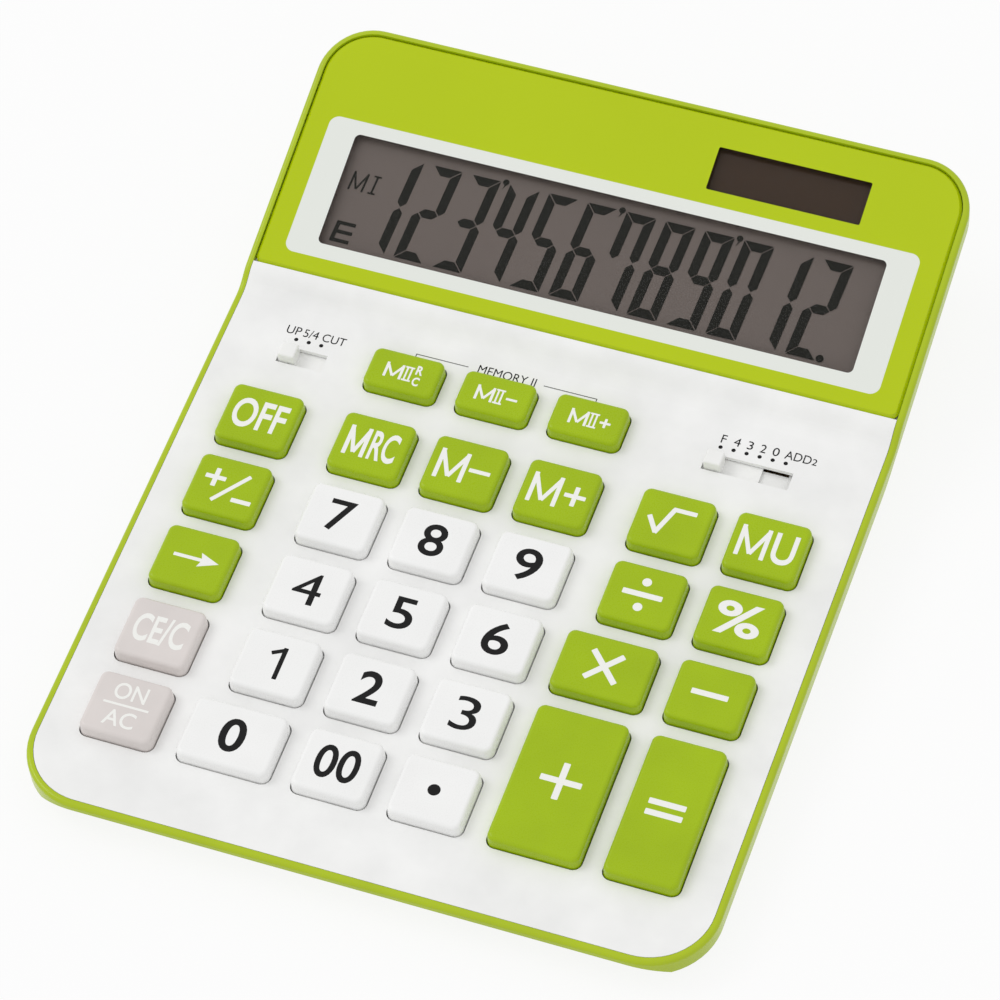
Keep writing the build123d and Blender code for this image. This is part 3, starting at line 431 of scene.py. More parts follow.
@dataclass(frozen=True)
class PrintedLens:
    """Clear acrylic with a green print, a white border round the display and two clear windows."""

    name: str = "printed_lens"
    green: Colour = (184, 204, 12)
    white: Colour = (233, 236, 230)
    tint: Colour = (40, 40, 38)
    clearness: float = 0.94
    roughness: float = 0.08
    shine: float = 0.22
    cloud: float = 40.0
    ripple: float = 6.0
    depth: float = 0.002

    def make(self) -> bpy.types.Material:
        """Builds the material."""
        g = Graph(self.name)
        cloud = g.spread(g.noise(self.cloud, 2.0), 0, 1)
        deep = tuple(c * 0.985 for c in self.green)
        print_colour = g.blend(cloud, linear(deep), linear(self.green))
        printed = g.blend(g.inside(LENS_BORDER), print_colour, linear(self.white))
        windows = g.math("MAXIMUM", g.inside(LENS_WINDOW), g.inside(SOLAR_WINDOW))
        clear = g.math("MAXIMUM", windows, g.below(LENS_PRINT_FLOOR))
        return g.surface(
            Base_Color=g.blend(clear, printed, linear(self.tint)),
            Alpha=g.math("MULTIPLY_ADD", clear, -self.clearness, 1.0),
            Roughness=self.roughness,
            Specular_IOR_Level=self.shine,
            Normal=g.relief(g.noise(self.ripple, 1.0), self.depth),
        )


@dataclass(frozen=True)
class DisplayGlass:
    """Smooth glass over a dark or grey layer, as on the display and the solar cell."""

    name: str
    colour: Colour
    roughness: float = 0.22
    shine: float = 0.2
    cloud: float = 30.0
    grain: float = 0.12
    depth: float = 0.0006

    def make(self) -> bpy.types.Material:
        """Builds the material."""
        g = Graph(self.name)
        cloud = g.spread(g.noise(self.cloud, 2.0), 0, 1)
        fine = g.noise(self.grain, 1.0)
        low = tuple(c * 0.975 for c in self.colour)
        return g.surface(
            Base_Color=g.blend(cloud, linear(low), linear(self.colour)),
            Roughness=self.roughness,
            Specular_IOR_Level=self.shine,
            Normal=g.relief(fine, self.depth),
        )


class Finish(Enum):
    """The finishes that this calculator's pieces and marks take, by name."""

    GREEN_CASE = MouldedPlastic("green_case", (174, 195, 20), 0.24, shine=0.35)
    WHITE_PANEL = MouldedPlastic("white_panel", (244, 244, 243), 0.34, grain=0.3)
    GREEN_KEY = MouldedPlastic("green_key", (161, 189, 10), 0.28, grain=0.3, shine=0.25)
    WHITE_KEY = MouldedPlastic("white_key", (246, 246, 245), 0.28, grain=0.3, mottle=0.008)
    GREY_KEY = MouldedPlastic("grey_key", (221, 214, 211), 0.3, grain=0.3)
    SWITCH = MouldedPlastic("switch", (245, 245, 243), 0.32, grain=0.3)
    BLACK_FRAME = MouldedPlastic("black_frame", (30, 30, 31), 0.5)
    FILM = MouldedPlastic("ribbon_film", (186, 118, 38), 0.25, mottle=0.06)
    BOARD = MouldedPlastic("board", (120, 92, 58), 0.55, grain=0.6, mottle=0.08)
    EPOXY = MouldedPlastic("epoxy", (16, 16, 17), 0.25, grain=1.5, depth=0.03)
    WIRE = MouldedPlastic("wire_cover", (150, 24, 20), 0.4)
    FOOT = Rubber("foot_rubber", (34, 34, 35))
    MAT = Rubber("silicone_mat", (176, 178, 178), 0.6)
    SCREW = Metal("screw_steel", (196, 196, 200), 0.32)
    CELL = Metal("cell_steel", (208, 208, 206), 0.24)
    SPRING = Metal("spring_metal", (214, 196, 150), 0.3)
    FOIL = Metal("foil", (215, 215, 212), 0.35, (1, 1, 1))
    LCD = DisplayGlass("display_glass", (118, 108, 103))
    SOLAR = DisplayGlass("solar_glass", (66, 50, 38), 0.12)
    LENS = PrintedLens()
    WHITE_INK = Ink("white_ink", (248, 248, 244))
    BLACK_INK = Ink("black_ink", (26, 26, 26))
    GREY_INK = Ink("grey_ink", (92, 92, 92))
    SEGMENT = Ink("display_segment", (34, 34, 30), 0.3)


class Paints:
    """Builds each finish once and hands it out."""

    def __init__(self) -> None:
        """Starts with no finish built."""
        self.made: dict[Finish, bpy.types.Material] = {}

    def get(self, finish: Finish) -> bpy.types.Material:
        """Gives a finish's material, building it the first time."""
        if finish not in self.made:
            self.made[finish] = finish.value.make()
        return self.made[finish]

    def coat(self, thing: bpy.types.Object, finish: Finish) -> None:
        """Gives an object this finish all over."""
        thing.data.materials.clear()
        thing.data.materials.append(self.get(finish))


@dataclass(frozen=True)
class Words:
    """Lettering fitted to a box: its middle, width and height, in millimetres."""

    text: str
    x: float
    y: float
    width: float
    height: float
    weight: float = 0.0

    def shape(self) -> bmesh.types.BMesh:
        """Makes the lettering as a thin slab on the plane z = 0."""
        curve = bpy.data.curves.new("lettering", "FONT")
        curve.body = self.text
        curve.extrude = 0.5
        curve.offset = self.weight
        curve.resolution_u = 6
        holder = bpy.data.objects.new("lettering", curve)
        bpy.context.scene.collection.objects.link(holder)
        bpy.context.view_layer.update()
        solved = holder.evaluated_get(bpy.context.evaluated_depsgraph_get())
        mesh = bpy.data.meshes.new_from_object(solved)
        bm = bmesh.new()
        bm.from_mesh(mesh)
        bpy.data.objects.remove(holder)
        bpy.data.curves.remove(curve)
        bpy.data.meshes.remove(mesh)
        bmesh.ops.remove_doubles(bm, verts=bm.verts, dist=1e-5)
        low = [min(v.co[i] for v in bm.verts) for i in (0, 1)]
        high = [max(v.co[i] for v in bm.verts) for i in (0, 1)]
        across, up = high[0] - low[0], high[1] - low[1]
        fit = Matrix.Diagonal((self.width / across, self.height / up, PRINT_HEIGHT, 1))
        middle = Vector((-(low[0] + high[0]) / 2, -(low[1] + high[1]) / 2, 0))
        place = Matrix.Translation((self.x, self.y, 0)) @ fit @ Matrix.Translation(middle)
        bmesh.ops.transform(bm, matrix=place, verts=bm.verts)
        return bm


@dataclass(frozen=True)
class Bar:
    """A straight stroke with square ends and slightly softened corners, in millimetres."""

    start: Point
    end: Point
    thick: float

    def shape(self) -> bmesh.types.BMesh:
        """Makes the stroke as a thin slab on the plane z = 0."""
        run = Vector((self.end[0] - self.start[0], self.end[1] - self.start[1], 0))
        middle = Vector((self.start[0] + self.end[0], self.start[1] + self.end[1], 0)) / 2
        turn = Matrix.Rotation(math.atan2(run.y, run.x), 4, "Z")
        size = Matrix.Diagonal((run.length, self.thick, PRINT_HEIGHT, 1))
        bm = bmesh.new()
        bmesh.ops.create_cube(bm, size=1, matrix=Matrix.Translation(middle) @ turn @ size)
        sides = [e for e in bm.edges if abs(e.verts[0].co.z - e.verts[1].co.z) > PRINT_HEIGHT / 2]
        corner = self.thick * 0.12
        bmesh.ops.bevel(bm, geom=sides, offset=corner, affect="EDGES", segments=2, profile=0.5, material=-1)
        return bm


@dataclass(frozen=True)
class Disc:
    """A round dot, in millimetres."""

    x: float
    y: float
    radius: float

    def shape(self) -> bmesh.types.BMesh:
        """Makes the dot as a thin slab on the plane z = 0."""
        bm = bmesh.new()
        bmesh.ops.create_cone(
            bm,
            cap_ends=True,
            segments=40,
            radius1=self.radius,
            radius2=self.radius,
            depth=PRINT_HEIGHT,
            matrix=Matrix.Translation((self.x, self.y, 0)),
        )
        return bm


@dataclass(frozen=True)
class Patch:
    """A flat shape with straight sides, from its corners in millimetres, in order."""

    corners: tuple[Point, ...]

    def shape(self) -> bmesh.types.BMesh:
        """Makes the shape as a thin slab on the plane z = 0."""
        bm = bmesh.new()
        face = bm.faces.new([bm.verts.new((x, y, -PRINT_HEIGHT / 2)) for x, y in self.corners])
        raised = bmesh.ops.extrude_face_region(bm, geom=[face])["geom"]
        lifted = [v for v in raised if isinstance(v, bmesh.types.BMVert)]
        bmesh.ops.translate(bm, verts=lifted, vec=(0, 0, PRINT_HEIGHT))
        return bm


Mark = Words | Bar | Disc | Patch


def lay(name: str, marks: list[Mark], plane: Matrix, body: str) -> bpy.types.Object:
    """Joins marks into one piece, lays it on a plane and lets it ride on a body.

    Args:
        name: The new piece's name.
        marks: The marks, in millimetres on the plane.
        plane: The plane's place in the part's frame, in metres.
        body: The moving body that carries the marks.

    Returns:
        The new piece.
    """
    whole = bmesh.new()
    for layer, mark in enumerate(marks):
        part = mark.shape()
        bmesh.ops.translate(part, verts=part.verts, vec=(0, 0, layer * LAYER_STEP))
        mesh = bpy.data.meshes.new("mark")
        part.to_mesh(mesh)
        part.free()
        whole.from_mesh(mesh)
        bpy.data.meshes.remove(mesh)
    bmesh.ops.transform(whole, matrix=plane @ Matrix.Scale(MM, 4), verts=whole.verts)
    bmesh.ops.recalc_face_normals(whole, faces=whole.faces)
    mesh = bpy.data.meshes.new(name)
    whole.to_mesh(mesh)
    whole.free()
    thing = bpy.data.objects.new(name, mesh)
    bpy.context.scene.collection.objects.link(thing)
    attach(thing, body)
    return thing


def plus(x: float, y: float, arm: float, thick: float, tall: float | None = None) -> list[Mark]:
    """Makes a plus sign.

    Args:
        x: Its middle, across.
        y: Its middle, up.
        arm: The length of an arm.
        thick: The strokes' thickness.
        tall: The length of its upright arms, where they differ.

    Returns:
        The level stroke and the upright one.
    """
    rise = arm if tall is None else tall
    return [Bar((x - arm, y), (x + arm, y), thick), Bar((x, y - rise), (x, y + rise), thick)]


def letter_m(
    x: float, y: float, width: float, height: float, thick: float, lean: float = 0.0
) -> list[Mark]:
    """Makes a plain capital M.

    Args:
        x: Its middle, across.
        y: Its middle, up.
        width: Its whole width.
        height: The height of its uprights.
        thick: The strokes' thickness.
        lean: How far it leans to the right for each unit of height.

    Returns:
        Its two uprights and its two slanting strokes.
    """
    side, rise = (width - thick) / 2, height / 2

    def spot(across: float, up: float) -> Point:
        """Places a point of the letter, leaned with it."""
        return x + across + lean * up, y + up

    foot = spot(0, -rise + thick * 0.9)
    return [
        Bar(spot(-side, -rise), spot(-side, rise), thick),
        Bar(spot(side, -rise), spot(side, rise), thick),
        Bar(spot(-side, rise - thick * 0.6), foot, thick * 0.95),
        Bar(spot(side, rise - thick * 0.6), foot, thick * 0.95),
    ]


def numeral_two(x: float, y: float, width: float, height: float, thick: float) -> list[Mark]:
    """Makes a Roman two.

    Args:
        x: Its middle, across.
        y: Its middle, up.
        width: Its whole width.
        height: Its whole height.
        thick: The strokes' thickness.

    Returns:
        A pair of upright strokes and the two level ones that close them.
    """
    half, rise, pair = width / 2, (height - thick) / 2, width * 0.24
    uprights = [Bar((x + side, y - rise), (x + side, y + rise), thick) for side in (-pair, pair)]
    return uprights + [Bar((x - half, y + side), (x + half, y + side), thick) for side in (-rise, rise)]


def second_memory(left: float) -> list[Mark]:
    """Makes the letter and the numeral that the three short keys share, from a left edge."""
    return letter_m(left + 2.1, -0.3, 4.2, 4.0, 0.62) + numeral_two(left + 5.45, -0.3, 2.1, 4.0, 0.42)


@dataclass(frozen=True)
class Legend:
    """What one key shows, in millimetres from the middle of its cap."""

    finish: Finish
    marks: tuple[Mark, ...]


WHITE, BLACK = Finish.WHITE_INK, Finish.BLACK_INK
LEGENDS: dict[str, Legend] = {
    "key_off": Legend(WHITE, (Words("OFF", 0.1, 0.1, 12.4, 8.0, 0.02),)),
    "key_memory_recall": Legend(
        WHITE,
        (
            *letter_m(-3.35, 0.1, 5.0, 7.9, 0.95),
            Words("R", 1.35, 0.1, 2.9, 7.8, 0.02),
            Words("C", 4.4, 0.1, 3.3, 7.9, 0.02),
        ),
    ),
    "key_memory_minus": Legend(
        WHITE,
        (*letter_m(-2.87, 0.1, 6.75, 7.9, 1.0), Bar((1.2, 0), (6.1, 0), 1.0)),
    ),
    "key_memory_plus": Legend(
        WHITE,
        (*letter_m(-2.87, 0.1, 6.8, 7.9, 1.0), *plus(4.05, 0, 2.45, 1.05, 2.6)),
    ),
    "key_markup": Legend(
        WHITE,
        (*letter_m(-3.1, 0.1, 6.7, 8.1, 1.0), Words("U", 3.9, 0.1, 5.2, 8.1, 0.015)),
    ),
    "key_square_root": Legend(
        WHITE,
        (
            Bar((-5.1, 0.4), (-2.5, -3.7), 1.1),
            Bar((-2.7, -3.8), (-0.1, 3.3), 1.1),
            Bar((-0.5, 3.2), (4.9, 3.2), 1.1),
        ),
    ),
    "key_divide": Legend(
        WHITE,
        (Bar((-4.5, 0), (4.5, 0), 1.35), Disc(0, 3.3, 1.05), Disc(0, -3.3, 1.05)),
    ),
    "key_percent": Legend(WHITE, (Words("%", 0, 0, 10.4, 8.6, 0.02),)),
    "key_multiply": Legend(
        WHITE,
        (Bar((-3.45, -3.6), (3.45, 3.6), 1.35), Bar((-3.45, 3.6), (3.45, -3.6), 1.35)),
    ),
    "key_minus": Legend(WHITE, (Bar((-4.1, 0), (4.1, 0), 1.35),)),
    "key_plus": Legend(WHITE, tuple(plus(0.5, 0.1, 4.6, 1.45))),
    "key_equals": Legend(
        WHITE,
        (Bar((-4.1, 1.35), (4.1, 1.35), 1.4), Bar((-4.1, -1.35), (4.1, -1.35), 1.4)),
    ),
    "key_change_sign": Legend(
        WHITE,
        (
            *plus(-3.2, 1.7, 2.4, 1.1),
            Bar((-2.2, -4.3), (4.3, 3.9), 0.95),
            Bar((2.1, -3.0), (6.7, -3.0), 1.1),
        ),
    ),
    "key_backspace": Legend(
        WHITE,
        (Bar((-4.7, 0), (2.0, 0), 0.85), Patch(((1.25, -1.85), (5.85, 0), (1.25, 1.85), (1.9, 0)))),
    ),
    "key_second_memory_recall": Legend(
        WHITE,
        (
            *second_memory(-4.3),
            Words("R", 3.45, 1.25, 1.6, 2.5, 0.03),
            Words("C", 3.45, -1.85, 1.6, 2.4, 0.03),
        ),
    ),
    "key_second_memory_minus": Legend(
        WHITE,
        (*second_memory(-4.5), Bar((2.6, -0.35), (5.2, -0.35), 0.6)),
    ),
    "key_second_memory_plus": Legend(
        WHITE,
        (*second_memory(-4.2), *plus(4.05, -0.3, 1.25, 0.6)),
    ),
    "key_clear_entry": Legend(WHITE, (Words("CE/C", 0, 0.1, 12.0, 7.2, 0.02),)),
    "key_on_clear_all": Legend(
        WHITE,
        (
            Words("ON", -0.1, 3.4, 7.4, 4.1, 0.01),
            Bar((-5.2, 0), (5.2, 0), 0.55),
            Words("AC", -0.2, -3.4, 7.1, 4.0, 0.01),
        ),
    ),
    "key_seven": Legend(BLACK, (Words("7", 0, 0, 5.9, 8.2, 0.008),)),
    "key_eight": Legend(BLACK, (Words("8", 0, 0, 5.7, 8.4, 0.012),)),
    "key_nine": Legend(BLACK, (Words("9", 0, 0, 6.1, 8.4, 0.012),)),
    "key_four": Legend(BLACK, (Words("4", 0, 0, 6.5, 8.2),)),
    "key_five": Legend(BLACK, (Words("5", 0, 0, 5.6, 8.2, 0.01),)),
    "key_six": Legend(BLACK, (Words("6", 0, 0, 6.1, 8.4, 0.012),)),
    "key_one": Legend(
        BLACK,
        (Bar((1.15, -4.1), (1.15, 4.1), 1.05), Bar((1.3, 3.6), (-1.6, 2.1), 0.95)),
    ),
    "key_two": Legend(BLACK, (Words("2", 0, 0, 5.5, 8.3, 0.018),)),
    "key_three": Legend(BLACK, (Words("3", 0, 0, 5.7, 8.4),)),
    "key_zero": Legend(BLACK, (Words("0", 0.1, 0, 5.7, 8.4, 0.02),)),
    "key_double_zero": Legend(BLACK, (Words("00", 0, 0, 9.8, 8.3, 0.015),)),
    "key_point": Legend(BLACK, (Disc(0, 0.1, 1.4),)),
}
WHITE_KEYS = {name for name, legend in LEGENDS.items() if legend.finish is BLACK}
GREY_KEYS = {"key_clear_entry", "key_on_clear_all"}


@dataclass
class KeyPad:
    """The 31 caps and what is printed on them."""

    paints: Paints
    nodes: dict[str, bpy.types.Object]

    def finish_of(self, name: str) -> tuple[Finish, str]:
        """Chooses a key's finish.

        Args:
            name: The key's node.

        Returns:
            The finish, and the record's material slot of the same colour.
        """
        if name in WHITE_KEYS:
            return Finish.WHITE_KEY, "white_key"
        if name in GREY_KEYS:
            return Finish.GREY_KEY, "grey_key"
        return Finish.GREEN_KEY, "green_key"

    def top_middle(self, name: str) -> Vector:
        """Finds the middle of a cap's top.

        Args:
            name: The key's node.

        Returns:
            The middle, in millimetres from the panel's plane.
        """
        corners = [PANEL_PLANE.inverted() @ v.co for v in self.nodes[name].data.vertices]
        middle = [(min(c[i] for c in corners) + max(c[i] for c in corners)) / 2 / MM for i in (0, 1)]
        return Vector((*middle, KEY_HEIGHT))

    def build(self) -> None:
        """Dresses every cap and prints its legend."""
        for name, legend in LEGENDS.items():
            finish, slot = self.finish_of(name)
            self.paints.coat(self.nodes[name], finish)
            plane = PANEL_PLANE @ Matrix.Translation(self.top_middle(name) * MM)
            mark = lay(f"{name}_legend", list(legend.marks), plane, f"{name}_cap")
            self.paints.coat(mark, legend.finish)
        log.info("keypad: %d keys", len(LEGENDS))


@dataclass(frozen=True)
class Scale:
    """A switch's scale: a row of dots with words behind it, in millimetres on the panel's plane."""

    first_dot: Point
    dots: int
    words_y: float
    words: tuple[tuple[str, float, float], ...]
    index: tuple[Mark, ...] = ()
    pitch: float = 3.0
    dot_radius: float = 0.48
    text_height: float = 2.2

    def marks(self) -> list[Mark]:
        """Makes the dots, then the words, then the small index figure if there is one."""
        x, y = self.first_dot
        dots: list[Mark] = [Disc(x + i * self.pitch, y, self.dot_radius) for i in range(self.dots)]
        words = [Words(text, at, self.words_y, width, self.text_height) for text, at, width in self.words]
        return [*dots, *words, *self.index]


ROUNDING_SCALE = Scale(
    first_dot=(-59.7, 127.0),
    dots=3,
    words_y=129.3,
    words=(("UP", -61.0, 3.4), ("5/4", -56.9, 3.5), ("CUT", -51.4, 5.5)),
)
DECIMAL_SCALE = Scale(
    first_dot=(40.5, 126.8),
    dots=6,
    words_y=129.1,
    words=(
        ("F", 40.6, 1.1),
        ("4", 43.7, 1.5),
        ("3", 46.7, 1.3),
        ("2", 49.7, 1.3),
        ("0", 52.6, 1.5),
        ("ADD", 57.7, 6.0),
    ),
    index=(Words("2", 61.5, 128.9, 1.1, 1.7),),
)


@dataclass
class PanelPrint:
    """The dots and words beside the two switches, and the bracket over the short keys."""

    paints: Paints
    bracket_y: float = 131.1
    bracket_drop: float = 1.2
    bracket_line: float = 0.22

    def bracket(self) -> list[Mark]:
        """The lines on both sides of the memory words, each turned down at its outer end."""
        marks: list[Mark] = []
        for start, end, outer in ((-32.4, -20.0, -32.3), (-2.2, 10.4, 10.3)):
            marks.append(Bar((start, self.bracket_y), (end, self.bracket_y), self.bracket_line))
            top, foot = self.bracket_y + 0.1, self.bracket_y - self.bracket_drop
            marks.append(Bar((outer, top), (outer, foot), self.bracket_line))
        return marks

    def build(self) -> None:
        """Prints all the marks on the panel."""
        prints = {
            "rounding_scale": (ROUNDING_SCALE.marks(), BLACK),
            "decimal_scale": (DECIMAL_SCALE.marks(), BLACK),
            "memory_words": ([Words("MEMORY II", -10.9, 131.3, 13.6, 2.3)], BLACK),
            "memory_bracket": (self.bracket(), Finish.GREY_INK),
        }
        for name, (marks, ink) in prints.items():
            self.paints.coat(lay(name, marks, PANEL_PLANE, "case"), ink)
        log.info("panel print: switch scales and bracket")


# The segments that make each digit from 0 to 9, by their usual letters.
DIGIT_SEGMENTS = (
    "abcdef",
    "bc",
    "abged",
    "abgcd",
    "fgbc",
    "afgcd",
    "afgedc",
    "abcf",
    "abcdefg",
    "abcdfg",
)


@dataclass
class Display:
    """The twelve digits and the small signs on the display's glass."""

    paints: Paints
    depth: float = -1.9
    cell_width: float = 7.0
    cell_height: float = 24.05
    stroke: float = 2.2
    gap: float = 0.16
    lean: float = 0.08
    pitch: float = 9.275
    first: Point = (-55.0, 11.5)
    digits: str = "123456789012"
    comma_after: tuple[int, ...] = (2, 5, 8)

    def leaned(self, foot: Point, across: float, up: float) -> Point:
        """Places a point over a foot and leans it."""
        return foot[0] + across + self.lean * up, foot[1] + up

    def slanted(self, foot: Point, corners: list[Point]) -> Patch:
        """Places corners over a cell's foot and leans them."""
        return Patch(tuple(self.leaned(foot, across, up) for across, up in corners))

    def segments(self) -> dict[str, list[Point]]:
        """Gives the seven segments of a cell by their usual letters."""
        w, h, t, g = self.cell_width, self.cell_height, self.stroke, self.gap
        mid = h / 2
        top = [(g, h), (w - g, h), (w - t - g, h - t), (t + g, h - t)]
        waist = [(g + t / 2, mid), (t + g, mid + t / 2), (w - t - g, mid + t / 2), (w - g - t / 2, mid)]
        waist += [(w - t - g, mid - t / 2), (t + g, mid - t / 2)]
        upper = [(0, h - g), (t, h - t - g), (t, mid + t / 2 + g)]
        upper += [(t / 2, mid + g), (0, mid + t / 2 + g)]

        def across(shape: list[Point]) -> list[Point]:
            """Mirrors a shape left to right."""
            return [(w - x, y) for x, y in reversed(shape)]

        def down(shape: list[Point]) -> list[Point]:
            """Mirrors a shape top to bottom."""
            return [(x, h - y) for x, y in reversed(shape)]

        return {
            "a": top,
            "b": across(upper),
            "c": across(down(upper)),
            "d": down(top),
            "e": down(upper),
            "f": upper,
            "g": waist,
        }

    def comma(self, foot: Point) -> list[Mark]:
        """Makes the raised comma that follows a digit.

        Args:
            foot: The digit's lower left corner.

        Returns:
            The comma's dot and its tail.
        """
        x, y = foot[0] + self.cell_width + 3.05, foot[1] + self.cell_height + 0.05
        tail = ((-0.1, -0.7), (0.75, 0.0), (-0.5, -2.0))
        return [Disc(x, y, 0.75), Patch(tuple((x + across, y + up) for across, up in tail))]

    def number(self) -> list[Mark]:
        """Makes all twelve digits, with the raised commas and the point."""
        marks: list[Mark] = []
        segments = self.segments()
        at = self.first
        for place, digit in enumerate(self.digits):
            at = (self.first[0] + place * self.pitch, self.first[1])
            marks += [self.slanted(at, segments[name]) for name in DIGIT_SEGMENTS[int(digit)]]
            if place in self.comma_after:
                marks += self.comma(at)
        marks.append(Disc(at[0] + self.cell_width + 0.9, at[1] + 0.7, 0.9))
        return marks

    def signs(self) -> list[Mark]:
        """Makes the small memory and error signs at the left."""
        one, error = (-56.6, 24.9), (-61.4, 11.7)
        strokes = [(one, (0.9, 0.0), (0.9, 4.8), 0.5)]
        strokes += [(one, (0.0, up), (1.8, up), 0.45) for up in (0.25, 4.55)]
        strokes += [(error, (0.5, 0.0), (0.5, 5.3), 1.0)]
        strokes += [(error, (0.5, up), (4.6, up), 0.9) for up in (0.45, 2.65, 4.85)]
        marks = letter_m(-59.4, 27.3, 3.7, 4.8, 0.5, self.lean)
        for foot, start, end, thick in strokes:
            marks.append(Bar(self.leaned(foot, *start), self.leaned(foot, *end), thick))
        return marks

    def build(self) -> None:
        """Draws the number and the signs on the glass."""
        plane = DISPLAY_PLANE @ Matrix.Translation((0, 0, self.depth * MM))
        for name, marks in (("display_number", self.number()), ("display_signs", self.signs())):
            self.paints.coat(lay(name, marks, plane, "case"), Finish.SEGMENT)
        log.info("display: %d digits", len(self.digits))


NODE_FINISHES: dict[str, Finish] = {
    "bottom_case": Finish.GREEN_CASE,
    "top_case": Finish.WHITE_PANEL,
    "display_lens": Finish.LENS,
    "lcd_glass": Finish.LCD,
    "lcd_reflector": Finish.FOIL,
    "lcd_frame": Finish.BLACK_FRAME,
    "lcd_ribbon": Finish.FILM,
    "solar_cell": Finish.SOLAR,
    "solar_wires": Finish.WIRE,
    "rounding_switch_knob": Finish.SWITCH,
    "rounding_switch_wiper": Finish.SPRING,
    "decimal_switch_knob": Finish.SWITCH,
    "decimal_switch_wiper": Finish.SPRING,
    "switch_retainers": Finish.SWITCH,
    "key_mat": Finish.MAT,
    "circuit_board": Finish.BOARD,
    "chip_blob": Finish.EPOXY,
    "board_components": Finish.EPOXY,
    "board_screws": Finish.SCREW,
    "battery_door": Finish.GREEN_CASE,
    "battery_door_screw": Finish.SCREW,
    "button_cell": Finish.CELL,
    "battery_contact_plus": Finish.SPRING,
    "battery_contact_minus": Finish.SPRING,
    "battery_wires": Finish.WIRE,
    "case_screws": Finish.SCREW,
    "rubber_feet": Finish.FOOT,
}


@dataclass
class Body:
    """The case, the display's pieces and everything inside."""

    paints: Paints
    nodes: dict[str, bpy.types.Object]

    def build(self) -> None:
        """Gives each piece that isn't a key its finish."""
        for name, finish in NODE_FINISHES.items():
            self.paints.coat(self.nodes[name], finish)
        log.info("body: %d pieces", len(NODE_FINISHES))


def seen(nodes: bpy.types.Nodes, links: bpy.types.NodeLinks) -> bpy.types.NodeSocket:
    """Adds a mask that is 1 for what the camera, a mirror or a window shows.

    Args:
        nodes: The node tree's nodes.
        links: The node tree's links.

    Returns:
        The mask's socket.
    """
    path = nodes.new("ShaderNodeLightPath")
    mask = path.outputs["Is Camera Ray"]
    for ray in ("Is Glossy Ray", "Is Transmission Ray"):
        either = nodes.new("ShaderNodeMath")
        either.operation = "MAXIMUM"
        links.new(mask, either.inputs[0])
        links.new(path.outputs[ray], either.inputs[1])
        mask = either.outputs[0]
    return mask


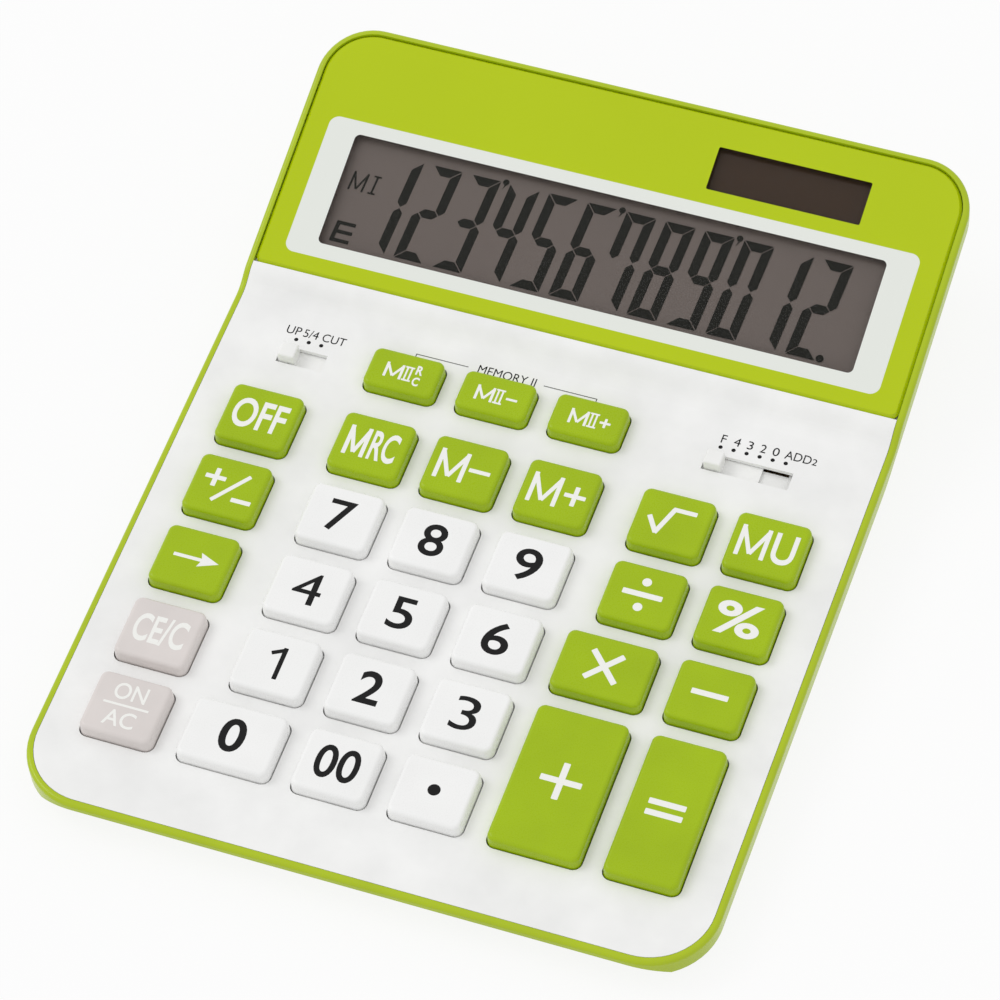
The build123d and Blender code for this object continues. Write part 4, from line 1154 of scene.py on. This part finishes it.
@dataclass
class Studio:
    """A white floor, a plain white world, a soft lamp and the camera.

    The floor's reach and the camera's are in metres, and the floor's grey and glow are shares of 1. The
    camera's place is in millimetres and its turn in degrees, both from the key panel's plane.
    """

    world_strength: float = 0.8
    floor_reach: float = 6.0
    floor_grey: float = 0.86
    floor_glow: float = 0.88
    lens: float = 176.87
    sensor: float = 36.0
    camera_place: tuple[float, float, float] = (251.66, -458.85, 883.98)
    camera_turn: tuple[float, float, float] = (34.5781, 3.4163, 19.4407)
    camera_reach: tuple[float, float] = (0.05, 20.0)

    def world(self) -> None:
        """Lights the scene from all round and shows as white."""
        world = bpy.data.worlds.new("studio")
        world.use_nodes = True
        nodes, links = world.node_tree.nodes, world.node_tree.links
        nodes.clear()
        around = nodes.new("ShaderNodeBackground")
        around.inputs["Strength"].default_value = self.world_strength
        white = nodes.new("ShaderNodeBackground")
        white.inputs["Strength"].default_value = 1.0
        for node in (around, white):
            node.inputs["Color"].default_value = (1, 1, 1, 1)
        mix = nodes.new("ShaderNodeMixShader")
        links.new(seen(nodes, links), mix.inputs["Fac"])
        links.new(around.outputs[0], mix.inputs[1])
        links.new(white.outputs[0], mix.inputs[2])
        out = nodes.new("ShaderNodeOutputWorld")
        links.new(mix.outputs[0], out.inputs["Surface"])
        bpy.context.scene.world = world

    def floor(self) -> None:
        """Lays a white floor that shows a faint shadow."""
        bm = bmesh.new()
        bmesh.ops.create_grid(bm, x_segments=1, y_segments=1, size=self.floor_reach)
        mesh = bpy.data.meshes.new("floor")
        bm.to_mesh(mesh)
        bm.free()
        floor = bpy.data.objects.new("floor", mesh)
        bpy.context.scene.collection.objects.link(floor)
        g = Graph("floor")
        cloth = g.add("ShaderNodeBsdfDiffuse")
        cloth.inputs["Color"].default_value = (self.floor_grey, self.floor_grey, self.floor_grey, 1)
        glow = g.add("ShaderNodeEmission")
        glow.inputs["Color"].default_value = (1, 1, 1, 1)
        share = g.math("MULTIPLY", seen(g.nodes, g.links), self.floor_glow)
        mix = g.add("ShaderNodeMixShader")
        g.links.new(share, mix.inputs["Fac"])
        g.links.new(cloth.outputs[0], mix.inputs[1])
        g.links.new(glow.outputs[0], mix.inputs[2])
        out = g.add("ShaderNodeOutputMaterial")
        g.links.new(mix.outputs[0], out.inputs["Surface"])
        mesh.materials.append(g.material)

    def sun(self, name: str, strength: float, spread: float, azimuth: float, height: float) -> None:
        """Adds one far, soft lamp.

        Args:
            name: The lamp's name.
            strength: Its strength in watts per square metre.
            spread: How wide it looks, in degrees, which softens its shadows.
            azimuth: Where it stands, in degrees clockwise from the back.
            height: How high it stands, in degrees.
        """
        lamp = bpy.data.lights.new(name, "SUN")
        lamp.energy = strength
        lamp.angle = math.radians(spread)
        holder = bpy.data.objects.new(name, lamp)
        holder.rotation_euler = Euler((math.radians(height - 90), 0, math.radians(-azimuth)))
        bpy.context.scene.collection.objects.link(holder)

    def camera(self) -> None:
        """Sets the camera."""
        data = bpy.data.cameras.new("camera")
        data.lens = self.lens
        data.sensor_width = self.sensor
        data.clip_start, data.clip_end = self.camera_reach
        camera = bpy.data.objects.new("camera", data)
        place = Matrix.Translation(Vector(self.camera_place) * MM)
        turn = Euler([math.radians(angle) for angle in self.camera_turn]).to_matrix().to_4x4()
        camera.matrix_world = PANEL_PLANE @ place @ turn
        bpy.context.scene.collection.objects.link(camera)
        bpy.context.scene.camera = camera

    def build(self) -> None:
        """Sets up the whole studio."""
        self.world()
        self.floor()
        self.sun("left_lamp", strength=0.6, spread=30, azimuth=-90, height=50)
        self.camera()
        bpy.context.scene.view_settings.view_transform = "Standard"
        log.info("studio: floor, lamp and camera")


def main() -> None:
    """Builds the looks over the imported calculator."""
    logging.basicConfig(level=logging.INFO, format="%(name)s: %(message)s")
    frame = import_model()
    paints = Paints()
    Body(paints, frame["nodes"]).build()
    KeyPad(paints, frame["nodes"]).build()
    PanelPrint(paints).build()
    Display(paints).build()
    Studio().build()


if __name__ == "__main__":
    main()
